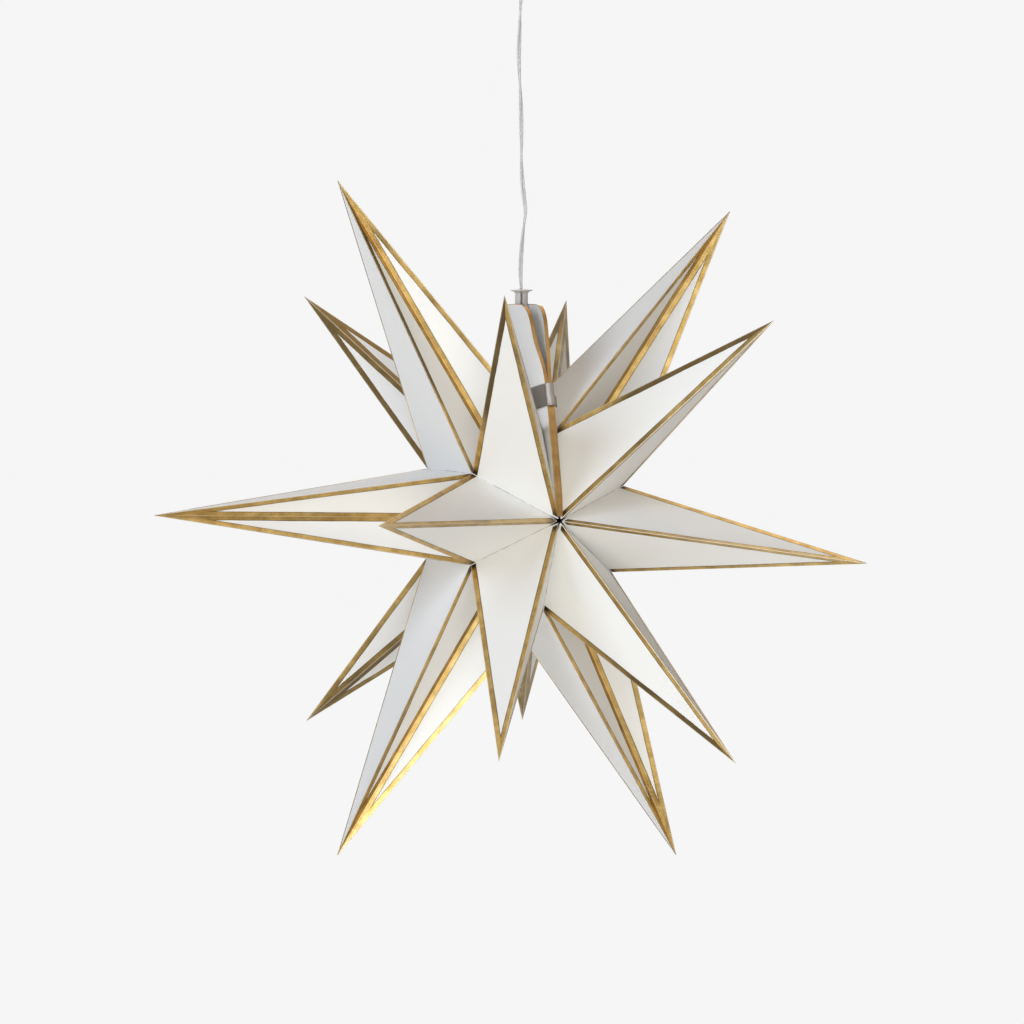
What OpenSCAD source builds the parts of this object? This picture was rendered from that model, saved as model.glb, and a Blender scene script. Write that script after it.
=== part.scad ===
// Advent star: a hanging paper lantern with 18 points, folded from twelve card sheets.
// Every pair of sheets makes one segment round a level spine, and a segment carries a front
// point, a ring point and a back point. Gold foil edges each fold of the points. The two end
// sheets are glued to stiff end boards, which two steel clips pinch together at the top.
// Z is up and the front pole points towards -Y. The origin is on the ceiling, in the middle
// of the ceiling plate, and the star hangs below it.

/* [Star] */
// Distance from the spine to the tips of the six ring points
ring_tip_r = 300; // [240:5:360]
// Distance from the spine to the tips of the front and back points
pole_tip_r = 200; // [160:5:230]
// How far the tips of the front and back points lie before and behind the middle
pole_tip_y = 208; // [160:4:250]
// How far the two poles, where the valleys meet, lie before and behind the middle
pole_y = 76; // [70:1:84]
// Distance from the spine to the corners of the valley folds
corner_r = 70; // [66:1:76]
// How far the corners of the valley folds lie before and behind the middle
corner_y = 47; // [42:1:52]
// Distance from the spine to the deep notches between the points of one segment
notch_r = 52; // [46:1:58]
// How far the notches lie before and behind the middle
notch_y = 22.5; // [18:0.5:27]
// Thickness of the card
card_t = 0.5; // [0.4:0.05:0.7]
// Width of the small open hole at each pole
pole_hole_d = 7; // [5:0.5:9]
// Angle that is left open between the two end sheets
seam_gap = 10; // [9:0.5:12]
// Angle by which the seam leans to the right
seam_lean = 3; // [2:0.5:4]
// How unevenly the segments have opened, from 0 for all alike to 1 as built
unevenness = 1; // [0:0.1:1.2]
// Distance from the ceiling to the middle of the star
star_drop = 452; // [448:1:456]

/* [Gold edging] */
// Width of the foil along each fold
foil_w = 3.4; // [2.4:0.1:4.5]
// Thickness of the foil
foil_t = 0.12; // [0.1:0.01:0.2]
// Bare card left between the end of the foil and the valley fold
foil_stop = 1; // [0.6:0.1:2]
// Distance from the spine at which the foil stops beside each pole
foil_pole_r = 7; // [6:0.5:9]

/* [End boards] */
// Thickness of an end board
board_t = 2.8; // [2.2:0.1:3.2]
// Distance from the spine to the top of the boards
board_top_r = 165; // [158:1:175]
// Half the width of the boards at the foot, beside the pole
board_foot_y = 79.5; // [78:0.5:84]
// Half the width of the boards where the rounded top begins
shoulder_y = 43; // [38:0.5:48]
// Radius of the rounded top corners
corner_round = 24; // [18:1:30]
// How far the slanted edge of a board curves inwards
board_bow = 6; // [3:0.5:8]
// How far a board reaches down past the valley fold that is glued to it
board_lap = 3; // [2:0.5:4]
// Half the gap between the boards in their middle, at the valley corners
belly_gap = 3.1; // [2.6:0.1:3.4]
// Half the gap between the boards at the top corners
mouth_gap = 3.4; // [2:0.1:4]
// Half the gap between the boards under the clips
pinch_gap = 0.1; // [0.05:0.05:0.3]
// Room between a board and the sheets beside it
board_play = 0.2; // [0.1:0.05:0.3]

/* [Clips] */
// Thickness of the spring steel
clip_t = 0.7; // [0.5:0.1:1]
// Width of a clip along the edge of the boards
clip_w = 17.5; // [12:0.5:20]
// Distance from the spine to the middle of a clip
clip_r = 93; // [86:1:98]
// Length of the broad leg at its upper side
clip_leg = 22; // [16:1:26]
// Length of the broad leg at its lower side
clip_leg_low = 14; // [10:1:15]
// Length of the narrow leg before it turns out
tongue_grip = 4; // [3:0.5:6]
// Length of the turned-out end of the narrow leg
tongue_lip = 9; // [6:0.5:12]
// Angle of the turned-out end
tongue_angle = 42; // [25:1:55]
// Room between a clip and the boards
clip_play = 0.15; // [0.1:0.05:0.3]

/* [Cord bushing] */
// Diameter of the split tube
bush_d = 10.1; // [9:0.1:11]
// Diameter of the flange
bush_flange_d = 17.5; // [15:0.5:22]
// Thickness of the flange
bush_flange_t = 2.4; // [1.8:0.1:3.2]
// Diameter of the hole for the cord
bush_bore_d = 4.8; // [4.6:0.1:5.6]
// Width of the slot that splits the tube
bush_slot = 1.6; // [1.2:0.1:2]
// Length of tube between the boards and the flange
bush_neck = 9.5; // [6:0.5:12]
// Length of tube that the boards grip
bush_grip = 19; // [12:0.5:22]
// Direction in which the slot runs, turned from front to back
bush_turn = -22; // [-60:1:60]
// Room between the tube and a board
bush_play = 0.1; // [0.05:0.05:0.2]

/* [Cord] */
// Diameter of the cord
cord_d = 3.4; // [2.8:0.1:3.6]

/* [Lampholder] */
// Height of the lampholder's top above the middle of the star
holder_top = 60; // [56:1:62]
// Outer diameter of the lampholder
holder_d = 28; // [26:0.5:32]
// Wall of the cap and the body
holder_wall = 1.8; // [1.4:0.1:2.4]
// Diameter of the neck on the cap
neck_d = 11; // [9:0.5:13]
// Height of the neck
neck_h = 9; // [6:0.5:11]
// Height of the cap below its neck
cap_h = 16; // [14:0.5:18]
// Height of the body below the cap
body_h = 29; // [27:0.5:34]
// Outer diameter of the brass screw shell
shell_d = 16; // [15.6:0.1:18]
// Thickness of the brass
brass_t = 0.5; // [0.4:0.05:0.8]
// Diameter of the bulb's screw base
base_d = 14; // [13:0.1:14.2]
// Length of the bulb's screw base
base_h = 22; // [20:0.5:24]
// Diameter of the bulb's globe
globe_d = 45; // [36:1:48]

/* [Ceiling cup] */
// Outer diameter of the cup
cup_d = 76; // [66:1:90]
// Height of the cup
cup_h = 24; // [20:1:26]
// Wall of the cup
cup_wall = 1.6; // [1.2:0.1:2.4]
// Thickness of the ceiling plate
plate_t = 2; // [1.5:0.1:3]
// Diameter of the ceiling plate
plate_d = 62; // [54:1:64]
// Distance between the two screw holes
screw_span = 40; // [34:1:46]
// Diameter of the screw holes
screw_hole_d = 4.4; // [4:0.1:5]
// Outer diameter of the nipple that carries the cup
nipple_d = 10; // [9:0.5:12]
// Diameter of the cord grip below the cup
grip_d = 15; // [13:0.5:18]
// Height of the cord grip
grip_h = 13; // [10:0.5:13]

/* [Hidden] */
$fn = 64;

card_white = [0.90, 0.89, 0.88];
foil_gold = [0.76, 0.60, 0.29];
clip_steel = [0.47, 0.44, 0.41];
bush_white = [0.80, 0.79, 0.79];
cord_clear = [0.75, 0.75, 0.74];
plastic_white = [0.93, 0.93, 0.92];
brass = [0.80, 0.66, 0.34];

// The six segments: where each begins and ends round the spine, where its ridge lies, and how
// far its front tip is turned one way and its back tip the other. Angles run from +X through
// the top. The uneven parts add up to nothing.
segments = 6;
seam_left = 90 - seam_lean + seam_gap / 2;
even_part = (360 - seam_gap) / segments;
uneven_part = [-1.3, 1.7, 1.6, -4.3, -0.9, 3.2];
ridge_part = [0, 0, 0, 0, 0, 1.5];
twist_part = [0.9, 1, 0.4, -0.35, 0.4, 0.3];
function sum(list, to) = to < 0 ? 0 : list[to] + sum(list, to - 1);
function valley_angle(i) = seam_left + even_part * i + unevenness * sum(uneven_part, i - 1);
function ridge_angle(i) =
    (valley_angle(i) + valley_angle(i + 1)) / 2 + unevenness * ridge_part[i];

// A point at distance r from the spine, y in front of the middle, at angle a round the spine.
function around(r, y, a) = [r * cos(a), -y, r * sin(a)];

// One sheet, side 0 before its segment's ridge and side 1 after it. The corners run along the
// ridge from the front pole to the back pole, and then back along the valley.
function sheet_corners(i, side) =
    let (m = ridge_angle(i), b = valley_angle(i + side), twist = unevenness * twist_part[i])
    [
        around(0, pole_y, 0), around(pole_tip_r, pole_tip_y, m - twist),
        around(notch_r, notch_y, m), around(ring_tip_r, 0, m), around(notch_r, -notch_y, m),
        around(pole_tip_r, -pole_tip_y, m + twist), around(0, -pole_y, 0),
        around(corner_r, -corner_y, b), around(corner_r, corner_y, b)
    ];
corners = 9;
facets = [[0, 1, 8], [1, 2, 8], [2, 3, 8], [3, 7, 8], [3, 4, 7], [4, 5, 7], [5, 6, 7]];
// The facets that meet at each corner
facets_at = [[0], [0, 1], [1, 2], [2, 3, 4], [4, 5], [5, 6], [6], [3, 4, 5, 6], [0, 1, 2, 3]];
spine_dir = [0, 1, 0];

function unit(v) = v / norm(v);
// The way straight out from the spine to a point
function radial(v) = unit([v[0], 0, v[2]]);
function flip(list) = [for (k = [len(list) - 1:-1:0]) list[k]];
// Faces wind the other way on side 1, which is the mirror of side 0
function wound(faces, side) = side == 0 ? faces : [for (f = faces) flip(f)];
function facet_normal(p, f, side) =
    (side == 0 ? -1 : 1) * unit(cross(p[f[1]] - p[f[0]], p[f[2]] - p[f[0]]));

function dots(ns, v) = [for (n = ns) n * v];
function total(list) = sum(list, len(list) - 1);
// Moves a corner, but not round the spine, until it lies at distance d outside every facet
// that meets there, or as near to that as one point can.
function moved(p, ns, d) =
    let (
        u = radial(p), nu = dots(ns, u), nv = dots(ns, spine_dir),
        a = nu * nu, b = nu * nv, c = nv * nv, e = total(nu), f = total(nv),
        det = a * c - b * b
    )
    p + d * ((c * e - b * f) * u + (a * f - b * e) * spine_dir) / det;
function moved_on_spine(p, n, d) = p + d / (n * spine_dir) * spine_dir;

function inner_corners(p, side) =
    let (ns = [for (f = facets) facet_normal(p, f, side)])
    [for (k = [0:corners - 1])
        let (meet = [for (f = facets_at[k]) ns[f]])
        len(meet) == 1 ? moved_on_spine(p[k], meet[0], -card_t) : moved(p[k], meet, -card_t)];

// Fold lines that carry foil: the rays from each tip, and the facets between them
tips = [1, 3, 5];
tip_rays = [[0, 8, 2], [2, 8, 7, 4], [4, 7, 6]];
tip_facets = [[0, 1], [2, 3, 4], [5, 6]];

// The shape of a board's face, as distance in front of the middle for a distance r
shoulder_r = board_top_r - corner_round;
foot_r = pole_hole_d / 2;
function board_edge(r) =
    let (u = r / shoulder_r)
    board_foot_y + (shoulder_y - board_foot_y) * u - 4 * board_bow * u * (1 - u);
function valley_at(r) = pole_y - (pole_y - corner_y) * r / corner_r;
side_steps = 11;
round_steps = 7;
top_steps = 3;
across_steps = 4;
half_steps = side_steps + round_steps + top_steps;
function lerp(a, b, t) = a + (b - a) * t;
function outer_rim(g) = concat(
    [for (k = [0:side_steps])
        let (r = lerp(foot_r, shoulder_r, k / side_steps))
        [board_edge(r) + g, r - (k == 0 ? g : 0)]],
    [for (k = [1:round_steps])
        let (a = 90 * k / round_steps)
        [shoulder_y - corner_round + (corner_round + g) * cos(a),
            shoulder_r + (corner_round + g) * sin(a)]],
    [for (k = [1:top_steps]) [(shoulder_y - corner_round) * (1 - k / top_steps), board_top_r + g]]
);
function inner_rim(g) =
    let (
        foot = [valley_at(foot_r) - board_lap / 2 - g, foot_r - g],
        knee = [corner_y - board_lap / 2 - g, corner_r - board_lap - g],
        mid = [0, corner_r - board_lap - g]
    )
    [for (k = [0:half_steps])
        k <= side_steps ? lerp(foot, knee, k / side_steps)
            : lerp(knee, mid, (k - side_steps) / (half_steps - side_steps))];
function whole_rim(half) =
    concat(half, [for (k = [len(half) - 2:-1:0]) [-half[k][0], half[k][1]]]);

// Where the boards lie from left to right: they follow the leaning seam, come back to the
// middle for the bushing, touch at the clips and bow apart between them.
lean_top_r = 145;
lean_x = corner_r * sin(seam_lean);
function seam_x(r) = r > lean_top_r ? 0
    : lean_x * sin(180 * r / lean_top_r) / sin(180 * corner_r / lean_top_r);
function smooth(t) = let (c = min(1, max(0, t))) c * c * (3 - 2 * c);
clip_end_r = clip_r + clip_w / 2;
mouth_r = board_top_r - 15;
tube_gap = bush_d / 2 + bush_play;
function edge_gap(r) = lerp(pinch_gap, mouth_gap, smooth((r - clip_end_r) / (mouth_r - clip_end_r)));
function mid_gap(r) = lerp(belly_gap, tube_gap, smooth((r - corner_r) / 60));
bow_power = 4;
function half_gap(y, r) =
    let (share = min(1, abs(y) / board_edge(min(r, shoulder_r))))
    lerp(mid_gap(r), edge_gap(r), pow(share, bow_power));
function board_point(at, hand, depth) =
    [seam_x(at[1]) + hand * (half_gap(at[0], at[1]) + depth), -at[0], at[1]];
// A point just past the middle of the seam, between the two boards
seam_lap = 0.05;
function seam_point(at, hand) = [seam_x(at[1]) - hand * seam_lap, -at[0], at[1]];

// A closed skin round a grid of rows of points: front faces, back faces and the walls.
function grid_faces(rows, cols) =
    let (n = rows * cols, at = function(i, j) i * cols + j)
    concat(
        [for (i = [0:rows - 2], j = [0:cols - 2]) each [
            [at(i, j), at(i + 1, j), at(i + 1, j + 1)], [at(i, j), at(i + 1, j + 1), at(i, j + 1)],
            [n + at(i, j), n + at(i + 1, j + 1), n + at(i + 1, j)],
            [n + at(i, j), n + at(i, j + 1), n + at(i + 1, j + 1)]]],
        [for (i = [0:rows - 2]) each [
            [at(i, 0), n + at(i, 0), n + at(i + 1, 0)], [at(i, 0), n + at(i + 1, 0), at(i + 1, 0)],
            [at(i, cols - 1), at(i + 1, cols - 1), n + at(i + 1, cols - 1)],
            [at(i, cols - 1), n + at(i + 1, cols - 1), n + at(i, cols - 1)]]],
        [for (j = [0:cols - 2]) each [
            [at(0, j), at(0, j + 1), n + at(0, j + 1)], [at(0, j), n + at(0, j + 1), n + at(0, j)],
            [at(rows - 1, j), n + at(rows - 1, j), n + at(rows - 1, j + 1)],
            [at(rows - 1, j), n + at(rows - 1, j + 1), at(rows - 1, j + 1)]]]
    );

// Heights in the star's own frame
flange_z = board_top_r + bush_neck;
tube_foot_z = board_top_r - bush_grip;
lamp_x = 3.5;
cap_top = holder_top - neck_h;
cap_foot = cap_top - cap_h;
body_foot = cap_foot - body_h;
floor_t = 4;
floor_z = cap_foot - floor_t;
bore_play = 0.4;
contact_h = 2;
contact_z = floor_z - contact_h;
base_foot = contact_z - base_h;

// The cord's route, from inside the cup down to the lampholder's terminals
cord_route = [
    [0, 0, -17], [0, 0, -28], [0, 0, -40], [-1, 0.4, -66], [-1.8, 0.7, -98], [-0.4, 0.2, -130],
    [0, 0, -156], [0, 0, -177], [0.9, -0.3, -194], [2.3, -0.9, -208], [2.9, -1.2, -216],
    [1.9, -0.8, -225], [0.4, -0.2, -241], [-0.6, 0.2, -260], [-0.3, 0.1, -272], [0, 0, -284],
    [0, 0, -304], [0.9, 0, -320], [2.6, 0, -350], [3.5, 0, -376], [3.5, 0, -392], [3.5, 0, -410]
];
cord_foot = star_drop + cord_route[len(cord_route) - 1][2];
cord_sides = 8;
cord_parts = 2;
function spline(p, i, t) =
    let (
        a = p[max(0, i - 1)], b = p[i], c = p[i + 1], d = p[min(len(p) - 1, i + 2)],
        m = (c - a) / 2, n = (d - b) / 2
    )
    (2 * t * t * t - 3 * t * t + 1) * b + (t * t * t - 2 * t * t + t) * m
        + (3 * t * t - 2 * t * t * t) * c + (t * t * t - t * t) * n;
function cord_line(p) = concat(
    [for (i = [0:len(p) - 2], k = [0:cord_parts - 1]) spline(p, i, k / cord_parts)],
    [p[len(p) - 1]]
);

// One folded sheet, as thick as the card, cut off square at the ridge and at the valley
module folded_sheet(i, side) {
    outer = sheet_corners(i, side);
    walls = [for (k = [0:corners - 1])
        let (j = (k + 1) % corners) each [[j, k, k + corners], [j, k + corners, j + corners]]];
    inner_facets = [for (f = facets) [f[2] + corners, f[1] + corners, f[0] + corners]];
    polyhedron(concat(outer, inner_corners(outer, side)),
        wound(concat(facets, inner_facets, walls), side));
}

// The foil round one tip: a band on both sides of each of its folds, joined at the tip
module tip_foil(i, side, tip) {
    p = sheet_corners(i, side);
    top = p[tips[tip]];
    rays = tip_rays[tip];
    n = len(rays) - 1;
    ns = [for (f = tip_facets[tip]) facet_normal(p, facets[f], side)];
    across = cross(radial(top), spine_dir);
    dirs = [for (r = rays) unit(p[r] - top)];
    lens = [for (r = rays) norm(p[r] - top)];
    // Share of the way to the valley at which the foil stops, the same for both its sides
    ends = [for (k = [0:n - 1])
        let (base = p[rays[k + 1]] - p[rays[k]], h = norm(cross(base, p[rays[k]] - top)) / norm(base))
        1 - foil_stop / h];
    ray_ends = [for (k = [0:n]) k == 0 ? ends[0] : k == n ? ends[n - 1] : min(ends[k - 1], ends[k])];
    on_ray = [for (k = [0:n]) top + dirs[k] * lens[k] * ray_ends[k]];
    band = [for (k = [0:n - 1])
        let (
            w = foil_w / norm(cross(dirs[k], dirs[k + 1])), near = dirs[k], far = dirs[k + 1],
            near_len = lens[k] * (ends[k] - w / lens[k + 1]),
            far_len = lens[k + 1] * (ends[k] - w / lens[k])
        )
        each [top + near * near_len + far * w, top + (near + far) * w,
            top + near * w + far * far_len]];
    ray_lift = [for (k = [0:n])
        k == 0 || k == n
            ? let (m = k == 0 ? ns[0] : ns[n - 1], s = m * across) (m - s * across) / (1 - s * s)
            : (ns[k - 1] + ns[k]) / (1 + ns[k - 1] * ns[k])];
    low = concat([top], on_ray, band);
    high = concat([moved(top, ns, foil_t)],
        [for (k = [0:n]) on_ray[k] + foil_t * ray_lift[k]],
        [for (k = [0:3 * n - 1]) band[k] + foil_t * ns[floor(k / 3)]]);
    count = len(low);
    inset = function(k, part) n + 2 + 3 * k + part;
    tops = [for (k = [0:n - 1]) each [
        [0, k + 2, inset(k, 2)], [0, inset(k, 2), inset(k, 1)], [0, inset(k, 1), inset(k, 0)],
        [0, inset(k, 0), k + 1]]];
    rims = concat([[1, 0], [0, n + 1]], [for (k = [0:n - 1]) each [
        [k + 2, inset(k, 2)], [inset(k, 2), inset(k, 1)], [inset(k, 1), inset(k, 0)],
        [inset(k, 0), k + 1]]]);
    walls = [for (r = rims) each [[r[1], r[0], r[0] + count], [r[1], r[0] + count, r[1] + count]]];
    bottoms = [for (f = tops) [f[2] + count, f[1] + count, f[0] + count]];
    polyhedron(concat(high, low), wound(concat(tops, bottoms, walls), side));
}

// Points all over a board's face, with the face grown by g round its rim
function board_grid(g) =
    let (outer = whole_rim(outer_rim(g)), inner = whole_rim(inner_rim(g)))
    [for (i = [0:len(outer) - 1], j = [0:across_steps]) lerp(inner[i], outer[i], j / across_steps)];

// A slab with the shape of a board. Hand is -1 on the left and 1 on the right.
module board_slab(hand, outer_face, inner_face) {
    polyhedron(concat(outer_face, inner_face),
        wound(grid_faces(2 * half_steps + 1, across_steps + 1), hand < 0 ? 0 : 1));
}

module board_body(hand) {
    grid = board_grid(0);
    board_slab(hand, [for (at = grid) board_point(at, hand, board_t)],
        [for (at = grid) board_point(at, hand, 0)]);
}

// The room that the sheets leave for a board, as far as the middle of the seam
module board_room(hand) {
    grid = board_grid(board_play);
    board_slab(hand, [for (at = grid) board_point(at, hand, board_t + board_play)],
        [for (at = grid) seam_point(at, hand)]);
}

// The foil that wraps the edge of one board
module board_rim(hand) {
    card_side = whole_rim(outer_rim(0));
    out_side = whole_rim(outer_rim(foil_t));
    rows = len(card_side);
    // The foil takes its place from left to right from the board's own edge
    layer = function(depth) [for (i = [0:rows - 1], j = [0:1])
        let (at = board_point(card_side[i], hand, depth), rim = j == 0 ? card_side[i] : out_side[i])
        [at[0], -rim[0], max(rim[1], foot_r)]];
    polyhedron(concat(layer(board_t), layer(0)), wound(grid_faces(rows, 2), hand < 0 ? 0 : 1));
}

// What is cut out of the sheets and their foil: a hole at each pole and, beside the seam, the
// room for the end boards
module cut_for_boards(i, hole_r) {
    difference() {
        children();
        rotate([90, 0, 0]) cylinder(r = hole_r, h = 3 * pole_y, center = true);
        if (i == 0 || i == segments - 1) {
            board_room(-1);
            board_room(1);
        }
    }
}

module in_star() {
    translate([0, 0, -star_drop]) children();
}

module sheet(i, side) {
    color(card_white) in_star() cut_for_boards(i, pole_hole_d / 2) folded_sheet(i, side);
}

module edging(i, side) {
    color(foil_gold) in_star() cut_for_boards(i, foil_pole_r) union() {
        for (tip = [0:2]) tip_foil(i, side, tip);
    }
}

module end_board(hand) {
    color(card_white) in_star() board_body(hand);
}

module board_edging(hand) {
    color(foil_gold) in_star() board_rim(hand);
}

// A clip's legs follow the boards: distance from the seam to the leg, s back from the edge,
// where the boards are widest apart over the clip's width
clip_low_r = clip_r - clip_w / 2;
function leg_x(s) = board_t + clip_play
    + max([for (r = [clip_low_r, clip_r, clip_end_r]) half_gap(board_edge(r) - s, r)]);
clip_bend = pinch_gap + board_t + clip_play;
clip_tilt = atan((board_edge(clip_end_r) - board_edge(clip_low_r)) / clip_w);
clip_lean = atan((seam_x(clip_end_r) - seam_x(clip_low_r)) / clip_w);
leg_steps = 8;
bend_steps = 12;

// The steel seen along the clip's width: broad leg, round bend, narrow leg and turned-out end
module clip_profile() {
    leg = [for (k = [0:leg_steps]) clip_leg * k / leg_steps];
    bend = [for (k = [1:bend_steps - 1]) 180 + 180 * k / bend_steps];
    grip = [for (k = [0:1]) tongue_grip * k / 2];
    turn = [leg_x(tongue_grip), tongue_grip];
    lip_end = turn + tongue_lip * [sin(tongue_angle), cos(tongue_angle)];
    polygon(concat(
        [for (s = flip(leg)) [-leg_x(s), s]], [for (a = bend) clip_bend * [cos(a), sin(a)]],
        [for (s = grip) [leg_x(s), s]], [turn, lip_end],
        [lip_end + clip_t * [cos(tongue_angle), -sin(tongue_angle)],
            turn + clip_t * [1, -tan(tongue_angle / 2)]],
        [for (s = flip(grip)) [leg_x(s) + clip_t, s]],
        [for (a = flip(bend)) (clip_bend + clip_t) * [cos(a), sin(a)]],
        [for (s = leg) [-leg_x(s) - clip_t, s]]
    ));
}

module clip_body() {
    slant = clip_leg - clip_leg_low;
    reach = clip_leg + tongue_lip;
    stub = 0.8;
    difference() {
        linear_extrude(clip_w, center = true) clip_profile();
        // The free end of the broad leg is cut on a slant
        translate([-2 * reach, clip_leg, clip_w / 2]) rotate([-atan(slant / clip_w), 0, 0])
            translate([0, 0, -2 * clip_w]) cube([2 * reach, reach, 3 * clip_w]);
        // The narrow leg is only on the lower half
        translate([0, stub, 0]) cube([reach, 2 * reach, clip_w]);
    }
}

module placed_clip() {
    translate([seam_x(clip_r), -board_edge(clip_r), clip_r]) rotate([0, clip_lean, 0])
        rotate([clip_tilt, 0, 0]) clip_body();
}

module front_clip() {
    color(clip_steel) in_star() placed_clip();
}

module back_clip() {
    color(clip_steel) in_star() mirror([0, 1, 0]) placed_clip();
}

// A split tube with a lens-shaped flange, gripped between the two boards
module cord_bushing() {
    rim_t = 0.5;
    fillet = 1;
    r_bore = bush_bore_d / 2;
    r_tube = bush_d / 2;
    r_rim = bush_flange_d / 2;
    color(bush_white) in_star() difference() {
        rotate_extrude() polygon([
            [r_bore, tube_foot_z], [r_tube - 0.6, tube_foot_z], [r_tube, tube_foot_z + 1.2],
            [r_tube, flange_z - fillet], [r_tube + fillet, flange_z],
            [r_rim, flange_z + (bush_flange_t - rim_t) / 2],
            [r_rim, flange_z + (bush_flange_t + rim_t) / 2],
            [r_bore + 1, flange_z + bush_flange_t], [r_bore, flange_z + bush_flange_t]
        ]);
        rotate([0, 0, bush_turn]) translate([-bush_slot / 2, -bush_d, tube_foot_z - 1])
            cube([bush_slot, 2 * bush_d, bush_neck + bush_grip + 0.6]);
    }
}

module cord() {
    line = cord_line(cord_route);
    last = len(line) - 1;
    rings = [for (i = [0:last])
        let (
            along = unit(line[min(last, i + 1)] - line[max(0, i - 1)]),
            side_way = unit(cross([0, 1, 0], along)), front_way = cross(along, side_way)
        )
        for (k = [0:cord_sides - 1])
            let (a = 360 * k / cord_sides)
            line[i] + cord_d / 2 * (cos(a) * side_way + sin(a) * front_way)];
    skin = [for (i = [0:last - 1], k = [0:cord_sides - 1])
        let (j = (k + 1) % cord_sides, low = i * cord_sides, up = low + cord_sides)
        each [[low + k, low + j, up + j], [low + k, up + j, up + k]]];
    start = flip([for (k = [0:cord_sides - 1]) k]);
    end = [for (k = [0:cord_sides - 1]) last * cord_sides + k];
    color(cord_clear) polyhedron(rings, [for (f = concat(skin, [start, end])) flip(f)]);
}

module at_lamp() {
    in_star() translate([lamp_x, 0, 0]) children();
}

module holder_cap() {
    r_neck = neck_d / 2;
    r_hole = cord_d / 2 + bore_play;
    r_out = holder_d / 2;
    r_in = r_out - holder_wall;
    shoulder = cap_top - (r_out - r_neck) * 0.7;
    color(plastic_white) at_lamp() rotate_extrude() polygon([
        [r_hole, cap_top - holder_wall], [r_hole, holder_top], [r_neck - 0.6, holder_top],
        [r_neck, holder_top - 0.6], [r_neck, cap_top], [r_out - 2, shoulder + 2],
        [r_out, shoulder], [r_out, cap_foot], [r_in, cap_foot], [r_in, shoulder - 0.6],
        [r_neck, cap_top - holder_wall]
    ]);
}

module holder_body() {
    r_out = holder_d / 2;
    r_in = r_out - holder_wall;
    color(plastic_white) at_lamp() difference() {
        translate([0, 0, body_foot]) cylinder(r = r_out, h = body_h);
        translate([0, 0, body_foot - 1]) cylinder(r = r_in, h = floor_z - body_foot + 1);
    }
}

// The block on the floor of the lampholder where the cord's two wires end
module holder_terminals() {
    color(plastic_white) at_lamp() difference() {
        translate([-7, -4, cap_foot]) cube([14, 8, cord_foot - cap_foot]);
        for (x = [-4, 4]) translate([x, 0, cap_foot + 2.5]) rotate([90, 0, 0])
            cylinder(d = 2.4, h = 9, center = true);
    }
}

module screw_shell() {
    shell_foot = body_foot + 2;
    color(brass) at_lamp() difference() {
        translate([0, 0, shell_foot]) cylinder(d = shell_d, h = floor_z - shell_foot);
        translate([0, 0, shell_foot - 1])
            cylinder(d = shell_d - 2 * brass_t, h = floor_z - shell_foot - brass_t + 1);
        translate([0, 0, shell_foot]) cylinder(d = 8, h = floor_z);
    }
}

module centre_contact() {
    color(brass) at_lamp() translate([0, 0, contact_z]) cylinder(d = 5, h = contact_h);
}

module bulb() {
    collar = 3;
    base_r = base_d / 2;
    r = globe_d / 2;
    neck_r = base_r + 1.5;
    globe_z = base_foot - collar - sqrt(r * r - neck_r * neck_r);
    start = asin(neck_r / r);
    steps = 16;
    color("white") at_lamp() rotate_extrude() polygon(concat(
        [[0, contact_z], [3, contact_z], [4, contact_z - 2], [base_r, contact_z - 3],
            [base_r, base_foot], [neck_r, base_foot - 1], [neck_r, base_foot - collar]],
        [for (k = [1:steps]) let (a = start + (180 - start) * k / steps)
            [max(0, r * sin(a)), globe_z + r * cos(a)]]
    ));
}

// The plate on the ceiling, with a bridge that carries the nipple
bridge_h = 6;
bridge_w = 14;
module ceiling_plate() {
    color("silver") difference() {
        union() {
            translate([0, 0, -plate_t]) cylinder(d = plate_d, h = plate_t);
            translate([-bridge_w / 2, -bridge_w / 2, -plate_t - bridge_h])
                cube([bridge_w, bridge_w, bridge_h]);
        }
        for (x = [-1, 1]) translate([x * screw_span / 2, 0, -plate_t - 1])
            cylinder(d = screw_hole_d, h = plate_t + 2);
        translate([0, 0, -plate_t - bridge_h - 1]) cylinder(d = nipple_d, h = bridge_h + 1);
    }
}

nipple_foot = cup_h + grip_h - 4;
window_h = 8;
module cup_nipple() {
    color(brass) translate([0, 0, -nipple_foot]) difference() {
        cylinder(d = nipple_d, h = nipple_foot - plate_t);
        translate([0, 0, -1]) cylinder(d = cord_d + 2 * bore_play + 0.6, h = nipple_foot + 1);
        // The window through which the cord's wires leave for the terminals
        translate([-nipple_d, 0, nipple_foot - plate_t - bridge_h - window_h])
            cube([2 * nipple_d, nipple_d, window_h]);
    }
}

module ceiling_cup() {
    r = cup_d / 2;
    round_r = 8;
    hole_r = nipple_d / 2 + bore_play;
    steps = 8;
    function arc(rad, flipped) = [for (k = [0:steps])
        let (a = flipped ? 90 * (1 - k / steps) : 90 * k / steps)
        [r - round_r + rad * sin(a), -cup_h + round_r - rad * cos(a)]];
    color(plastic_white) rotate_extrude() polygon(concat(
        [[hole_r, -cup_h]], arc(round_r, false), [[r, 0], [r - cup_wall, 0]],
        arc(round_r - cup_wall, true), [[hole_r, -cup_h + cup_wall]]
    ));
}

module cord_grip() {
    r = grip_d / 2;
    r_cord = cord_d / 2 + bore_play;
    r_nipple = nipple_d / 2 + bore_play / 2;
    foot = -cup_h - grip_h;
    color(plastic_white) rotate_extrude() polygon([
        [r_cord, foot], [r - 3, foot], [r - 1, foot + 3], [r, foot + 6], [r, -cup_h],
        [r_nipple, -cup_h], [r_nipple, -nipple_foot], [r_cord, -nipple_foot]
    ]);
}

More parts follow.
